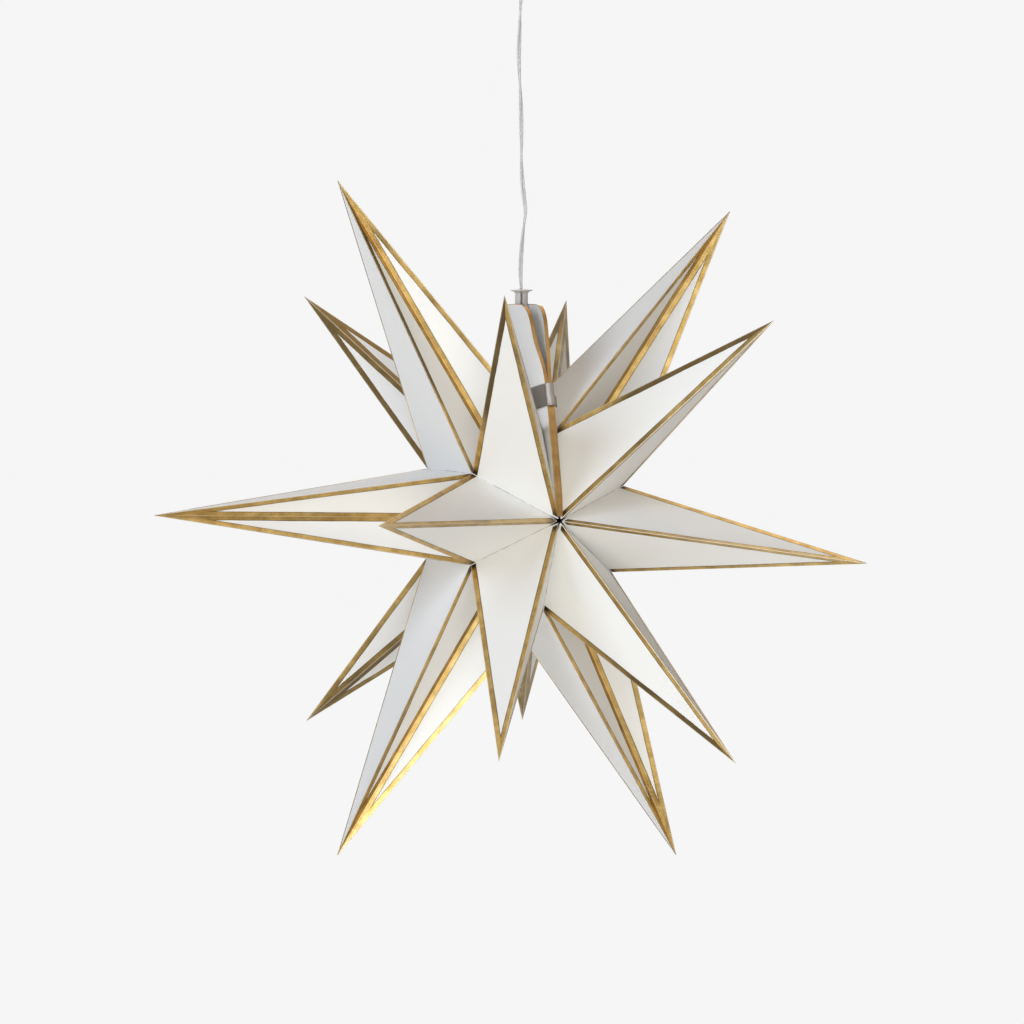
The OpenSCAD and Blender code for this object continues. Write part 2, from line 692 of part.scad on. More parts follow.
// The small terminal block beside the nipple, screwed under the plate
module cup_terminals() {
    size = [18, 10, 9];
    wire_hole_d = 3;
    color(plastic_white) translate([-size[0] / 2, bridge_w / 2 + 1, -plate_t - size[2]])
        difference() {
            cube(size);
            for (x = [5, 13]) translate([x, -1, size[2] / 2]) rotate([-90, 0, 0])
                cylinder(d = wire_hole_d, h = size[1] + 2);
        }
}

sheet(0, 0);  // sheet_1a
sheet(0, 1);  // sheet_1b
sheet(1, 0);  // sheet_2a
sheet(1, 1);  // sheet_2b
sheet(2, 0);  // sheet_3a
sheet(2, 1);  // sheet_3b
sheet(3, 0);  // sheet_4a
sheet(3, 1);  // sheet_4b
sheet(4, 0);  // sheet_5a
sheet(4, 1);  // sheet_5b
sheet(5, 0);  // sheet_6a
sheet(5, 1);  // sheet_6b
edging(0, 0);  // edging_1a
edging(0, 1);  // edging_1b
edging(1, 0);  // edging_2a
edging(1, 1);  // edging_2b
edging(2, 0);  // edging_3a
edging(2, 1);  // edging_3b
edging(3, 0);  // edging_4a
edging(3, 1);  // edging_4b
edging(4, 0);  // edging_5a
edging(4, 1);  // edging_5b
edging(5, 0);  // edging_6a
edging(5, 1);  // edging_6b
end_board(-1);  // end_board_left
end_board(1);  // end_board_right
board_edging(-1);  // board_edging_left
board_edging(1);  // board_edging_right
front_clip();
back_clip();
cord_bushing();
cord();
holder_cap();
holder_body();
holder_terminals();
screw_shell();
centre_contact();
bulb();
ceiling_plate();
cup_nipple();
ceiling_cup();
cord_grip();
cup_terminals();
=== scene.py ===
# Looks for the paper advent star: white folded card, gold foil on every fold of its points,
# two stiff end boards held by spring steel clips, a clear twisted cord and a small ceiling cup.
# All sizes are in millimetres until a mesh is made, and the star's own middle is at (0, 0, 0)
# until it is hung STAR_DROP below the ceiling.

import math
import random

import bmesh
import bpy
import numpy as np
from mathutils import Euler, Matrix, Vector


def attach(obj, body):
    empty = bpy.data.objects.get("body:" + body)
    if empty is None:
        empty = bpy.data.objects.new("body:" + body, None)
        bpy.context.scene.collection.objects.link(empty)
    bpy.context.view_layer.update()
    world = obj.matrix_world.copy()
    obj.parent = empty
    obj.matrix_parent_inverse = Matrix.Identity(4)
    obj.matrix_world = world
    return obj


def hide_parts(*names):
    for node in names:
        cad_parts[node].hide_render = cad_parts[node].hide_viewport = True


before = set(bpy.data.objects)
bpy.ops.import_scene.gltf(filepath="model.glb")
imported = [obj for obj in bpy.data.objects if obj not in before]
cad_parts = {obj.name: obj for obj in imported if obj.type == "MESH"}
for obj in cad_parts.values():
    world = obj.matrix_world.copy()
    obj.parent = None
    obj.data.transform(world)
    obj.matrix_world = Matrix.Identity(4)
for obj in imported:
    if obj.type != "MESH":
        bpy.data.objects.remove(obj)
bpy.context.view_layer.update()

MM = 0.001
STAR_DROP = 452.0

# The star's sizes. They are the solids' own, but the clips sit 3 mm further up, as in the photo
RING_TIP_R, POLE_TIP_R, POLE_TIP_Y = 300.0, 200.0, 208.0
POLE_Y, CORNER_R, CORNER_Y = 76.0, 70.0, 47.0
NOTCH_R, NOTCH_Y = 52.0, 22.5
CARD_T, FOIL_T, FOIL_W, FOIL_STOP = 0.5, 0.12, 4.1, 1.0
HOLE_R, FOIL_POLE_R = 3.5, 3.0
SEGMENTS, SEAM_GAP, SEAM_LEAN = 6, 10.0, 3.0
UNEVEN = (-1.3, 1.7, 1.6, -4.3, -0.9, 3.2)
RIDGE_SHIFT = (0, 0, 0, 0, 0, 1.5)
TWIST = (0.9, 1.0, 0.4, -0.35, 0.4, 0.3)

BOARD_T, BOARD_TOP_R, BOARD_FOOT_Y = 2.8, 165.0, 79.5
SHOULDER_Y, CORNER_ROUND, BOARD_BOW, BOARD_LAP = 43.0, 24.0, 6.0, 3.0
BELLY_GAP, MOUTH_GAP, PINCH_GAP = 3.1, 3.4, 0.1
CLIP_T, CLIP_W, CLIP_R, CLIP_LEG, CLIP_LEG_LOW = 0.7, 17.5, 96.0, 22.0, 14.0
TONGUE_GRIP, TONGUE_LIP, TONGUE_ANGLE, CLIP_PLAY = 4.0, 9.0, 42.0, 0.15
BUSH_D, BUSH_FLANGE_D, BUSH_FLANGE_T, BUSH_BORE_D = 10.1, 17.5, 2.4, 4.8
BUSH_SLOT, BUSH_NECK, BUSH_GRIP, BUSH_TURN = 1.6, 9.5, 19.0, -22.0
BUSH_PLAY = 0.1
CORD_D = 3.4
CUP_D, CUP_H, CUP_WALL = 76.0, 24.0, 1.6
NIPPLE_D, GRIP_D, GRIP_H = 10.0, 15.0, 13.0


# Camera

def in_scene(obj):
    bpy.context.scene.collection.objects.link(obj)
    return obj


def place_camera():
    data = bpy.data.cameras.new("photo_camera")
    data.sensor_width = 36.0
    data.lens = 220.7
    data.clip_end = 100.0
    camera = in_scene(bpy.data.objects.new("photo_camera", data))
    camera.location = (-1.8519, -4.5118, -0.2068)
    camera.rotation_euler = Euler((math.radians(90 - 2.84), 0, math.radians(-22.23)))
    bpy.context.scene.camera = camera


place_camera()


# Meshes

def smooth_step(t):
    """From 0 to 1 with soft ends, for t from 0 to 1."""
    t = np.clip(t, 0.0, 1.0)
    return t * t * (3.0 - 2.0 * t)


def lerp(a, b, t):
    return a + (b - a) * t


def unit(v):
    v = np.asarray(v, float)
    return v / np.linalg.norm(v)


def crisp(mesh, angle):
    """Smooth shading, with sharp edges at every fold steeper than the angle in degrees."""
    mesh.polygons.foreach_set("use_smooth", [True] * len(mesh.polygons))
    mesh.set_sharp_from_angle(angle=math.radians(angle))


def grid_quads(rows, columns, start=0):
    """The quads between rows of columns + 1 points each, the first point being start."""
    width = columns + 1
    corners = [start + r * width + c for r in range(rows) for c in range(columns)]
    return [(k, k + 1, k + width + 1, k + width) for k in corners]


def write_uv(mesh, uv):
    """Puts one UV place per vertex on all the face corners that meet there."""
    layer = mesh.uv_layers.get("UVMap") or mesh.uv_layers.new(name="UVMap")
    corner = np.zeros(len(mesh.loops), np.int32)
    mesh.loops.foreach_get("vertex_index", corner)
    layer.data.foreach_set("uv", np.asarray(uv, np.float32)[corner].ravel())


def new_object(name, verts, faces, material, weld=0.0, sharp=30.0, attributes=None, uv=None):
    """A mesh object in row metres. Attributes are per vertex, uv is per vertex too."""
    mesh = bpy.data.meshes.new(name)
    mesh.from_pydata([tuple(v) for v in np.asarray(verts, float)], [], faces)
    for key, values in (attributes or {}).items():
        values = np.asarray(values, np.float32)
        kind, field = ("FLOAT_VECTOR", "vector") if values.ndim == 2 else ("FLOAT", "value")
        mesh.attributes.new(key, kind, "POINT").data.foreach_set(field, values.ravel())
    if uv is not None:
        write_uv(mesh, uv)
    if weld > 0:
        bm = bmesh.new()
        bm.from_mesh(mesh)
        bmesh.ops.remove_doubles(bm, verts=bm.verts, dist=weld)
        bmesh.ops.dissolve_degenerate(bm, edges=bm.edges, dist=1e-7)
        bm.to_mesh(mesh)
        bm.free()
    crisp(mesh, sharp)
    obj = in_scene(bpy.data.objects.new(name, mesh))
    if material is not None:
        mesh.materials.append(material)
    return obj


def outward(obj):
    bm = bmesh.new()
    bm.from_mesh(obj.data)
    bmesh.ops.recalc_face_normals(bm, faces=bm.faces)
    bm.to_mesh(obj.data)
    bm.free()


def baked(obj):
    """The object with its modifiers worked in, as a plain mesh."""
    bpy.context.view_layer.update()
    graph = bpy.context.evaluated_depsgraph_get()
    mesh = bpy.data.meshes.new_from_object(obj.evaluated_get(graph), depsgraph=graph)
    obj.modifiers.clear()
    if obj.type == "MESH":
        obj.data = mesh
        return obj
    return in_scene(bpy.data.objects.new(obj.name + "_made", mesh))


def hung(points):
    """Star millimetres to row metres."""
    points = np.asarray(points, float).reshape(-1, 3)
    return (points + np.array([0, 0, -STAR_DROP])) * MM


def piece(obj, slot, *nodes):
    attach(obj, "root")
    if nodes:
        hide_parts(*nodes)
    return obj


# Shader pieces

class Tree:
    """Short names for the nodes of one shader or geometry tree."""

    def __init__(self, tree):
        self.tree = tree

    def node(self, kind, inputs=None, **settings):
        made = self.tree.nodes.new(kind)
        for key, value in settings.items():
            setattr(made, key, value)
        for key, value in (inputs or {}).items():
            self.feed(made.inputs[key], value)
        return made

    def feed(self, socket, value):
        """Links another node's socket to this one, or sets a plain value on it."""
        if isinstance(value, bpy.types.NodeSocket):
            self.tree.links.new(value, socket)
        else:
            socket.default_value = value

    def math(self, operation, a, b=0.0, clamp=False):
        made = self.node("ShaderNodeMath", {0: a, 1: b}, operation=operation, use_clamp=clamp)
        return made.outputs[0]

    def remap(self, value, low, high, to_low=0.0, to_high=1.0):
        made = self.node("ShaderNodeMapRange", {0: value, 1: low, 2: high, 3: to_low, 4: to_high})
        return made.outputs[0]

    def mix_colour(self, factor, a, b, blend="MIX"):
        made = self.node("ShaderNodeMix", data_type="RGBA", blend_type=blend)
        for index, value in ((0, factor), (6, a), (7, b)):
            self.feed(made.inputs[index], value)
        return made.outputs[2]

    def noise(self, vector, scale, detail=2.0, rough=0.5):
        made = self.node("ShaderNodeTexNoise",
                         {"Vector": vector, "Scale": scale, "Detail": detail, "Roughness": rough})
        return made.outputs[0]

    def stretched(self, vector, scale):
        return self.node("ShaderNodeMapping", {"Vector": vector, "Scale": scale}).outputs[0]

    def attribute(self, name):
        return self.node("ShaderNodeAttribute", attribute_name=name).outputs["Fac"]

    def seen_rays(self):
        """1 for what the camera sees directly, in a mirror or through clear plastic."""
        path = self.node("ShaderNodeLightPath").outputs
        return self.math("MAXIMUM", path["Is Camera Ray"],
                         self.math("MAXIMUM", path["Is Glossy Ray"],
                                   path["Is Transmission Ray"]))


def dress(tree, shader, **sockets):
    """Links or sets the sockets of a shader, named with low dashes for spaces."""
    for key, value in sockets.items():
        tree.feed(shader.inputs[key.replace("_", " ")], value)


def group_socket(group, label, kind, way="INPUT"):
    return group.interface.new_socket(label, in_out=way, socket_type="NodeSocket" + kind)


def shader_group(name, ins, outs):
    """A group with a Vector input, the named inputs at their usual values, and float outputs."""
    group = bpy.data.node_groups.new(name, "ShaderNodeTree")
    group_socket(group, "Vector", "Vector")
    for label, value in ins.items():
        kind = "Float" if isinstance(value, float) else "Vector"
        group_socket(group, label, kind).default_value = value
    for label in outs:
        group_socket(group, label, "Float", "OUTPUT")
    tree = Tree(group)
    return group, tree, tree.node("NodeGroupInput").outputs, tree.node("NodeGroupOutput")


def make_fine_grain():
    """Fibre of paper or the skin of moulded plastic: a soft tint and a height."""
    group, t, source, end = shader_group(
        "fine_grain", {"Grain Size": 0.0006, "Cloud Size": 0.05, "Tint": 0.03},
        ("Shade", "Height", "Cloud"))
    fine = t.math("DIVIDE", 1.0, source["Grain Size"])
    wide = t.math("DIVIDE", 1.0, source["Cloud Size"])
    fibres = t.noise(t.stretched(source["Vector"], (1.0, 1.0, 0.45)), fine, 3.0, 0.6)
    specks = t.noise(source["Vector"], t.math("MULTIPLY", fine, 0.31), 2.0, 0.5)
    clouds = t.noise(source["Vector"], wide, 2.0, 0.5)
    height = t.math("ADD", t.math("MULTIPLY", fibres, 0.7), t.math("MULTIPLY", specks, 0.3))
    both = t.math("ADD", t.math("MULTIPLY", height, 0.5), t.math("MULTIPLY", clouds, 0.5))
    shade = t.math("MULTIPLY_ADD", t.math("SUBTRACT", both, 0.5), source["Tint"])
    shade.node.inputs[2].default_value = 1.0
    dress(t, end, Shade=shade, Height=height, Cloud=clouds)
    return group


def make_brushing():
    """Lines drawn along or across a metal skin, with rubbed and dented places."""
    group, t, source, end = shader_group(
        "brushing", {"Lines": (1.0, 1.0, 1.0), "Rub Size": 0.02}, ("Lines", "Rub", "Dents"))
    drawn = t.node("ShaderNodeVectorMath", {0: source["Vector"], 1: source["Lines"]},
                   operation="MULTIPLY")
    lines = t.noise(drawn.outputs[0], 1.0, 3.0, 0.65)
    wide = t.math("DIVIDE", 1.0, source["Rub Size"])
    rub = t.noise(source["Vector"], wide, 3.0, 0.6)
    dents = t.noise(source["Vector"], t.math("MULTIPLY", wide, 9.0), 2.0, 0.5)
    dress(t, end, Lines=lines, Rub=rub, Dents=dents)
    return group


FINE_GRAIN = make_fine_grain()
BRUSHING = make_brushing()


def new_material(name, **fixed):
    """A material with its Principled shader; fixed are values on the shader's own sockets."""
    material = bpy.data.materials.new(name)
    material.use_nodes = True
    tree = Tree(material.node_tree)
    shader = material.node_tree.nodes["Principled BSDF"]
    dress(tree, shader, **fixed)
    return material, tree, shader


def object_vector(tree):
    return tree.node("ShaderNodeTexCoord").outputs["Object"]


def strip_vector(tree):
    """Along and across a strip, from the UV map."""
    return tree.node("ShaderNodeUVMap", uv_map="UVMap").outputs[0]


def grained(tree, size, cloud_size, tint):
    inputs = {"Vector": object_vector(tree), "Grain Size": size, "Cloud Size": cloud_size,
              "Tint": tint}
    return tree.node("ShaderNodeGroup", inputs, node_tree=FINE_GRAIN).outputs


def brushed(tree, vector, lines, rub_size):
    inputs = {"Vector": vector, "Lines": lines, "Rub Size": rub_size}
    return tree.node("ShaderNodeGroup", inputs, node_tree=BRUSHING).outputs


def shaded(tree, colour, shade):
    return tree.mix_colour(1.0, colour, shade, "MULTIPLY")


def bumped(tree, shader, height, distance):
    bump = tree.node("ShaderNodeBump", {"Height": height, "Distance": distance, "Strength": 1.0})
    dress(tree, shader, Normal=bump.outputs[0])


def card_material():
    """Matt white card: fibres, faint clouds, and a thin painted shade line in each valley fold."""
    material, t, shader = new_material("folded_card", Roughness=0.72, Specular_IOR_Level=0.3)
    grain = grained(t, 0.0007, 0.06, 0.05)
    paper = shaded(t, (0.87, 0.863, 0.851, 1), grain["Shade"])
    # Painted shade: a thin dark line of uneven width along each valley fold, where the crease lies
    # in shade
    fold_gap = t.attribute("fold_gap")
    uneven = t.noise(object_vector(t), 160.0, 2.0)
    width = t.remap(uneven, 0.35, 0.7, 0.05, 0.75)
    line = t.math("SUBTRACT", 1.0, t.math("DIVIDE", fold_gap, width), clamp=True)
    paper = t.mix_colour(t.math("MULTIPLY", line, 0.75), paper, (0.23, 0.18, 0.13, 1))
    dress(t, shader, Base_Color=paper)
    bumped(t, shader, grain["Height"], 0.00006)
    return material


def foil_material():
    """Gold foil: drawn lines, rubbed patches, painted highlight streaks, painted dark reflections
    and shade in long patches, a painted shade line at its inner edge and a painted highlight in
    paper colour at the crest.
    """
    material, t, shader = new_material("gold_foil", Metallic=1.0)
    vector = strip_vector(t)
    marks = brushed(t, vector, (90.0, 3200.0, 1.0), 0.012)
    cross = brushed(t, vector, (1700.0, 130.0, 1.0), 0.045)
    gold = t.mix_colour(t.remap(marks["Rub"], 0.35, 0.65),
                        (0.40, 0.265, 0.085, 1), (0.64, 0.445, 0.165, 1))
    gold = t.mix_colour(t.remap(cross["Rub"], 0.48, 0.72, 0.0, 0.6),
                        gold, (0.50, 0.28, 0.06, 1))
    # Painted highlight: bright cream streaks along the cross lines
    gold = t.mix_colour(t.remap(cross["Lines"], 0.56, 0.74, 0.0, 0.55),
                        gold, (0.86, 0.70, 0.40, 1))
    # Painted dark reflections and shade: long dark patches, more of them on some strips than on
    # others
    patches = t.noise(t.stretched(vector, (17.0, 60.0, 1.0)), 1.0, 2.0, 0.55)
    dark = t.remap(t.math("ADD", patches, t.attribute("painted_dark")), 0.72, 1.22)
    gold = t.mix_colour(t.math("MULTIPLY", dark, 0.86), gold, (0.075, 0.052, 0.024, 1))
    # Painted shade: a dark, ragged line along the inner edge of the foil
    across = t.attribute("across")
    ragged = t.math("MULTIPLY", t.math("SUBTRACT", marks["Dents"], 0.5), 0.5)
    edge = t.remap(t.math("ADD", across, ragged), FOIL_W - 0.75, FOIL_W - 0.35)
    gold = t.mix_colour(t.math("MULTIPLY", edge, 0.8), gold, (0.13, 0.085, 0.035, 1))
    # Painted highlight: a cream, non-metal line along the crest of some folds
    crest_highlight = t.math("LESS_THAN", across, t.remap(marks["Dents"], 0.3, 0.7, 0.3, 0.62))
    crest_highlight = t.math("MULTIPLY", crest_highlight, t.attribute("crest"))
    colour = t.mix_colour(crest_highlight, gold, (0.86, 0.78, 0.62, 1))
    rough = t.remap(marks["Lines"], 0.3, 0.7, 0.24, 0.4)
    rough = t.math("ADD", rough, t.remap(cross["Lines"], 0.4, 0.7, 0.0, 0.14))
    dress(t, shader, Base_Color=colour, Metallic=t.math("SUBTRACT", 1.0, crest_highlight), Roughness=rough)
    lines = t.math("ADD", t.math("MULTIPLY", marks["Lines"], 0.5),
                   t.math("MULTIPLY", cross["Lines"], 0.5))
    bumped(t, shader, t.math("ADD", lines, t.math("MULTIPLY", marks["Dents"], 1.5)),
           0.00012)
    return material


def board_material():
    material, t, shader = new_material("end_board_paper", Roughness=0.6)
    grain = grained(t, 0.0009, 0.03, 0.06)
    dress(t, shader, Base_Color=shaded(t, (0.80, 0.795, 0.785, 1), grain["Shade"]))
    bumped(t, shader, grain["Height"], 0.00008)
    return material


def rim_foil_material():
    """The darker, redder foil that wraps the rims of the end boards."""
    material, t, shader = new_material("board_rim_foil", Metallic=1.0)
    marks = brushed(t, strip_vector(t), (70.0, 2600.0, 1.0), 0.015)
    gold = t.mix_colour(t.remap(marks["Rub"], 0.35, 0.65),
                        (0.27, 0.15, 0.05, 1), (0.42, 0.25, 0.095, 1))
    dress(t, shader, Base_Color=gold,
          Roughness=t.remap(marks["Lines"], 0.3, 0.7, 0.25, 0.4))
    bumped(t, shader, t.math("ADD", marks["Lines"], marks["Dents"]), 0.0001)
    return material


def metal_material(name, low, high, roughness, lines):
    material, t, shader = new_material(name, Metallic=1.0)
    marks = brushed(t, object_vector(t), lines, 0.008)
    dress(t, shader, Base_Color=t.mix_colour(marks["Rub"], low, high),
          Roughness=t.remap(marks["Lines"], 0.3, 0.7, roughness, roughness + 0.12))
    bumped(t, shader, marks["Lines"], 0.00004)
    return material


def plastic_material(name, colour, roughness, grain_size, tint=0.04, height=0.00003, **fixed):
    material, t, shader = new_material(name, **fixed)
    grain = grained(t, grain_size, 0.015, tint)
    dress(t, shader, Base_Color=shaded(t, colour, grain["Shade"]),
          Roughness=t.remap(grain["Cloud"], 0.3, 0.7, roughness, roughness + 0.1))
    bumped(t, shader, grain["Height"], height)
    return material


def strand_material():
    """Tinned wires laid in a helix inside the clear jacket."""
    material, t, shader = new_material("tinned_strands", Metallic=1.0)
    vector = strip_vector(t)
    slanted = t.node("ShaderNodeMapping", {"Vector": vector, "Rotation": (0, 0, 0.5)}).outputs[0]
    wave = t.node("ShaderNodeTexWave", {"Vector": slanted, "Scale": 420.0, "Distortion": 0.6})
    wires = wave.outputs["Fac"]
    dress(t, shader, Roughness=t.remap(wires, 0.0, 1.0, 0.45, 0.25),
          Base_Color=t.mix_colour(wires, (0.50, 0.49, 0.49, 1), (0.90, 0.89, 0.88, 1)))
    bumped(t, shader, wires, 0.0001)
    return material


CARD = card_material()
FOIL = foil_material()
BOARD = board_material()
RIM_FOIL = rim_foil_material()
CLIP_STEEL = metal_material("clip_steel", (0.23, 0.21, 0.195, 1), (0.34, 0.315, 0.295, 1),
                            0.42, (300.0, 300.0, 2600.0))
BRASS = metal_material("holder_brass", (0.70, 0.50, 0.20, 1), (0.82, 0.64, 0.32, 1),
                       0.25, (400.0, 400.0, 2400.0))
ZINC = metal_material("zinc_plate", (0.50, 0.50, 0.51, 1), (0.66, 0.66, 0.65, 1),
                      0.38, (900.0, 300.0, 900.0))
BUSHING = plastic_material("bushing_plastic", (0.56, 0.545, 0.54, 1), 0.35, 0.0008)
HOLDER = plastic_material("lampholder_plastic", (0.82, 0.82, 0.80, 1), 0.25, 0.0005)
CUP = plastic_material("cup_plastic", (0.84, 0.84, 0.83, 1), 0.32, 0.0006)
GLOBE = plastic_material("frosted_globe", (0.86, 0.86, 0.83, 1), 0.4, 0.0006, height=0.00001)
JACKET = plastic_material("clear_jacket", (0.86, 0.85, 0.86, 1), 0.14, 0.002, height=0.00002,
                          Transmission_Weight=0.55, IOR=1.46)
STRANDS = strand_material()


# Cord: a clear twin flex with silvery wires, twisted

CORD_ROUTE = [
    (0, 0, -17), (0, 0, -28), (0, 0, -40), (-1, 0.4, -66), (-1.8, 0.7, -98), (-0.4, 0.2, -130),
    (0, 0, -156), (0, 0, -177), (0.9, -0.3, -194), (2.3, -0.9, -208), (2.9, -1.2, -216),
    (1.9, -0.8, -225), (0.4, -0.2, -241), (-0.6, 0.2, -260), (-0.3, 0.1, -272), (0, 0, -284),
    (0, 0, -304), (0.9, 0, -320), (2.6, 0, -350), (3.5, 0, -376), (3.5, 0, -392), (3.5, 0, -410)]


def spline_points(route, parts):
    p = [np.array(q, float) for q in route]
    line = []
    for i in range(len(p) - 1):
        a, b, c, d = p[max(0, i - 1)], p[i], p[i + 1], p[min(len(p) - 1, i + 2)]
        m, n = (c - a) / 2, (d - b) / 2
        for k in range(parts):
            t = k / parts
            line.append((2 * t**3 - 3 * t * t + 1) * b + (t**3 - 2 * t * t + t) * m
                        + (3 * t * t - 2 * t**3) * c + (t**3 - t * t) * n)
    line.append(p[-1])
    return np.array(line)


def geometry_tree(name, floats):
    """A geometry tree with Geometry, the named floats and Material, and their identifiers."""
    group = bpy.data.node_groups.new(name, "GeometryNodeTree")
    group_socket(group, "Geometry", "Geometry")
    group_socket(group, "Geometry", "Geometry", "OUTPUT")
    ids = {label: group_socket(group, label, "Float").identifier for label in floats}
    ids["Material"] = group_socket(group, "Material", "Material").identifier
    tree = Tree(group)
    return (group, ids), tree, tree.node("NodeGroupInput").outputs, tree.node("NodeGroupOutput")


def finish_tree(t, last, source, end):
    """Makes the last node's copies real, gives them their material and puts them out."""
    real = t.node("GeometryNodeRealizeInstances", {"Geometry": last.outputs[0]})
    clad = t.node("GeometryNodeSetMaterial", {"Geometry": real.outputs[0],
                                              "Material": source["Material"]})
    t.feed(end.inputs[0], clad.outputs[0])


def with_tree(obj, made, values):
    """Runs a geometry tree on an object and keeps the result as its mesh."""
    group, ids = made
    modifier = obj.modifiers.new(group.name, "NODES")
    modifier.node_group = group
    for label, value in values.items():
        modifier[ids[label]] = value
    return baked(obj)


def twisted_pair_tree():
    """Two round cores side by side, swept along the cord and turned as they go."""
    made, t, source, end = geometry_tree("twisted_pair", ("Spread", "Core Radius", "Turns", "Step"))
    spline = t.node("GeometryNodeResampleCurve", {"Curve": source["Geometry"],
                                                  "Length": source["Step"]}, mode="LENGTH")
    share = t.node("GeometryNodeSplineParameter").outputs["Factor"]
    angle = t.math("MULTIPLY", t.math("MULTIPLY", share, source["Turns"]), 2 * math.pi)
    tilted = t.node("GeometryNodeSetCurveTilt", {"Curve": spline.outputs[0], "Tilt": angle})
    circle = t.node("GeometryNodeCurvePrimitiveCircle", {"Resolution": 12,
                                                         "Radius": source["Core Radius"]})
    joined = t.node("GeometryNodeJoinGeometry")
    for sign in (-1.0, 1.0):
        place = t.node("ShaderNodeCombineXYZ", {"X": t.math("MULTIPLY", source["Spread"], sign)})
        moved = t.node("GeometryNodeTransform", {"Geometry": circle.outputs[0],
                                                 "Translation": place.outputs[0]})
        swept = t.node("GeometryNodeCurveToMesh", {"Curve": tilted.outputs[0],
                                                   "Profile Curve": moved.outputs[0],
                                                   "Fill Caps": True})
        t.feed(joined.inputs[0], swept.outputs[0])
    finish_tree(t, joined, source, end)
    return made


def cord_curve(name, line):
    data = bpy.data.curves.new(name, "CURVE")
    data.dimensions = "3D"
    spline = data.splines.new("POLY")
    spline.points.add(len(line) - 1)
    for point, place in zip(spline.points, line):
        point.co = (*(place * MM), 1.0)
    return in_scene(bpy.data.objects.new(name, data))


def unwrap_by_length(obj, line):
    """UV on a swept piece: how far along the line it is, and how far round."""
    path = line * MM
    steps = np.linalg.norm(np.diff(path, axis=0), axis=1)
    reach = np.concatenate([[0], np.cumsum(steps)])
    co = np.zeros(len(obj.data.vertices) * 3)
    obj.data.vertices.foreach_get("co", co)
    co = co.reshape(-1, 3)
    nearest = np.array([np.argmin(((path - c) ** 2).sum(1)) for c in co])
    angle = np.arctan2(co[:, 1] - path[nearest, 1], co[:, 0] - path[nearest, 0])
    along = reach[nearest] + (path[nearest, 2] - co[:, 2])
    write_uv(obj.data, np.stack([along, angle * CORD_D / 4 * MM], 1))


def make_cord():
    line = spline_points(CORD_ROUTE, 6)[::-1]
    pair = twisted_pair_tree()
    made = []
    for name, radius, material in (("cord_jacket", CORD_D / 4, JACKET),
                                   ("cord_strands", CORD_D / 4 * 0.55, STRANDS)):
        curve = cord_curve(name + "_line", line)
        obj = with_tree(curve, pair, {"Spread": CORD_D / 4 * MM, "Core Radius": radius * MM,
                                      "Turns": 3.6, "Step": 0.0015, "Material": material})
        bpy.data.objects.remove(curve)
        obj.name = name
        obj.data.polygons.foreach_set("use_smooth", [True] * len(obj.data.polygons))
        unwrap_by_length(obj, line)
        made.append(obj)
    jacket, strands = made
    piece(jacket, "cord_clear", "cord")
    piece(strands, "cord_clear")


make_cord()


# Star: twelve sheets in six segments

def valley_angle(i):
    return 90 - SEAM_LEAN + SEAM_GAP / 2 + (360 - SEAM_GAP) / SEGMENTS * i + sum(UNEVEN[:i])


def ridge_angle(i):
    return (valley_angle(i) + valley_angle(i + 1)) / 2 + RIDGE_SHIFT[i]


def around(r, y, a):
    return np.array([r * math.cos(math.radians(a)), -y, r * math.sin(math.radians(a))])


# One pixel of the photograph to the right and one down, in star millimetres
RIGHT, DOWN = np.array([0.72, -0.29, 0.0]), np.array([0.0, 0.0, -0.778])
# How far the real tips are from their even places: (segment, corner) to offset
TIP_SHIFT = {(0, 1): -1.5 * DOWN, (1, 1): 1.3 * RIGHT + 0.7 * DOWN,
             (2, 1): 0.9 * RIGHT - 0.5 * DOWN, (3, 1): 0.7 * RIGHT - 0.8 * DOWN,
             (4, 1): 0.7 * RIGHT, (5, 1): -1.9 * RIGHT + 4.6 * DOWN,
             (0, 3): -2.6 * DOWN, (1, 3): -1.6 * RIGHT - 1.7 * DOWN,
             (2, 3): 1.4 * RIGHT + 1.6 * DOWN, (5, 3): -5.3 * RIGHT + 2.7 * DOWN,
             (0, 5): 2.1 * RIGHT + 3.0 * DOWN, (2, 5): 0.6 * RIGHT,
             (3, 5): -0.5 * RIGHT - 3.8 * DOWN, (5, 5): 5.4 * RIGHT - 5.3 * DOWN}


def sheet_corners(i, side):
    m, b = ridge_angle(i), valley_angle(i + side)
    twist = TWIST[i]
    p = [around(0, POLE_Y, 0), around(POLE_TIP_R, POLE_TIP_Y, m - twist),
         around(NOTCH_R, NOTCH_Y, m), around(RING_TIP_R, 0, m), around(NOTCH_R, -NOTCH_Y, m),
         around(POLE_TIP_R, -POLE_TIP_Y, m + twist), around(0, -POLE_Y, 0),
         around(CORNER_R, -CORNER_Y, b), around(CORNER_R, CORNER_Y, b)]
    for (segment, corner), offset in TIP_SHIFT.items():
        if segment == i:
            p[corner] = p[corner] + offset
    return p


# Each facet: its tip, the two far ends of its foiled folds, in the order of the sheet's rim
FACETS = [(1, 0, 8), (1, 8, 2), (3, 2, 8), (3, 8, 7), (3, 7, 4), (5, 4, 7), (5, 7, 6)]
SIDE_FACET = 3
# The valley folds between segments and at the pole get a painted shade line
CREASE_SHADE_FACETS = (0, 3, 6)
POLES = (0, 6)
BACK_TIP = 5


def outer_normal(p, facet, side):
    t, a, b = (p[k] for k in facet)
    n = unit(np.cross(a - t, b - t))
    return n if side == 0 else -n


def wound_out(points, quads, normal):
    """The quads, turned so that they face along the normal."""
    a, b, c, _ = quads[len(quads) // 2]
    facing = np.cross(points[b] - points[a], points[c] - points[a]) @ normal
    return quads if facing > 0 else [q[::-1] for q in quads]


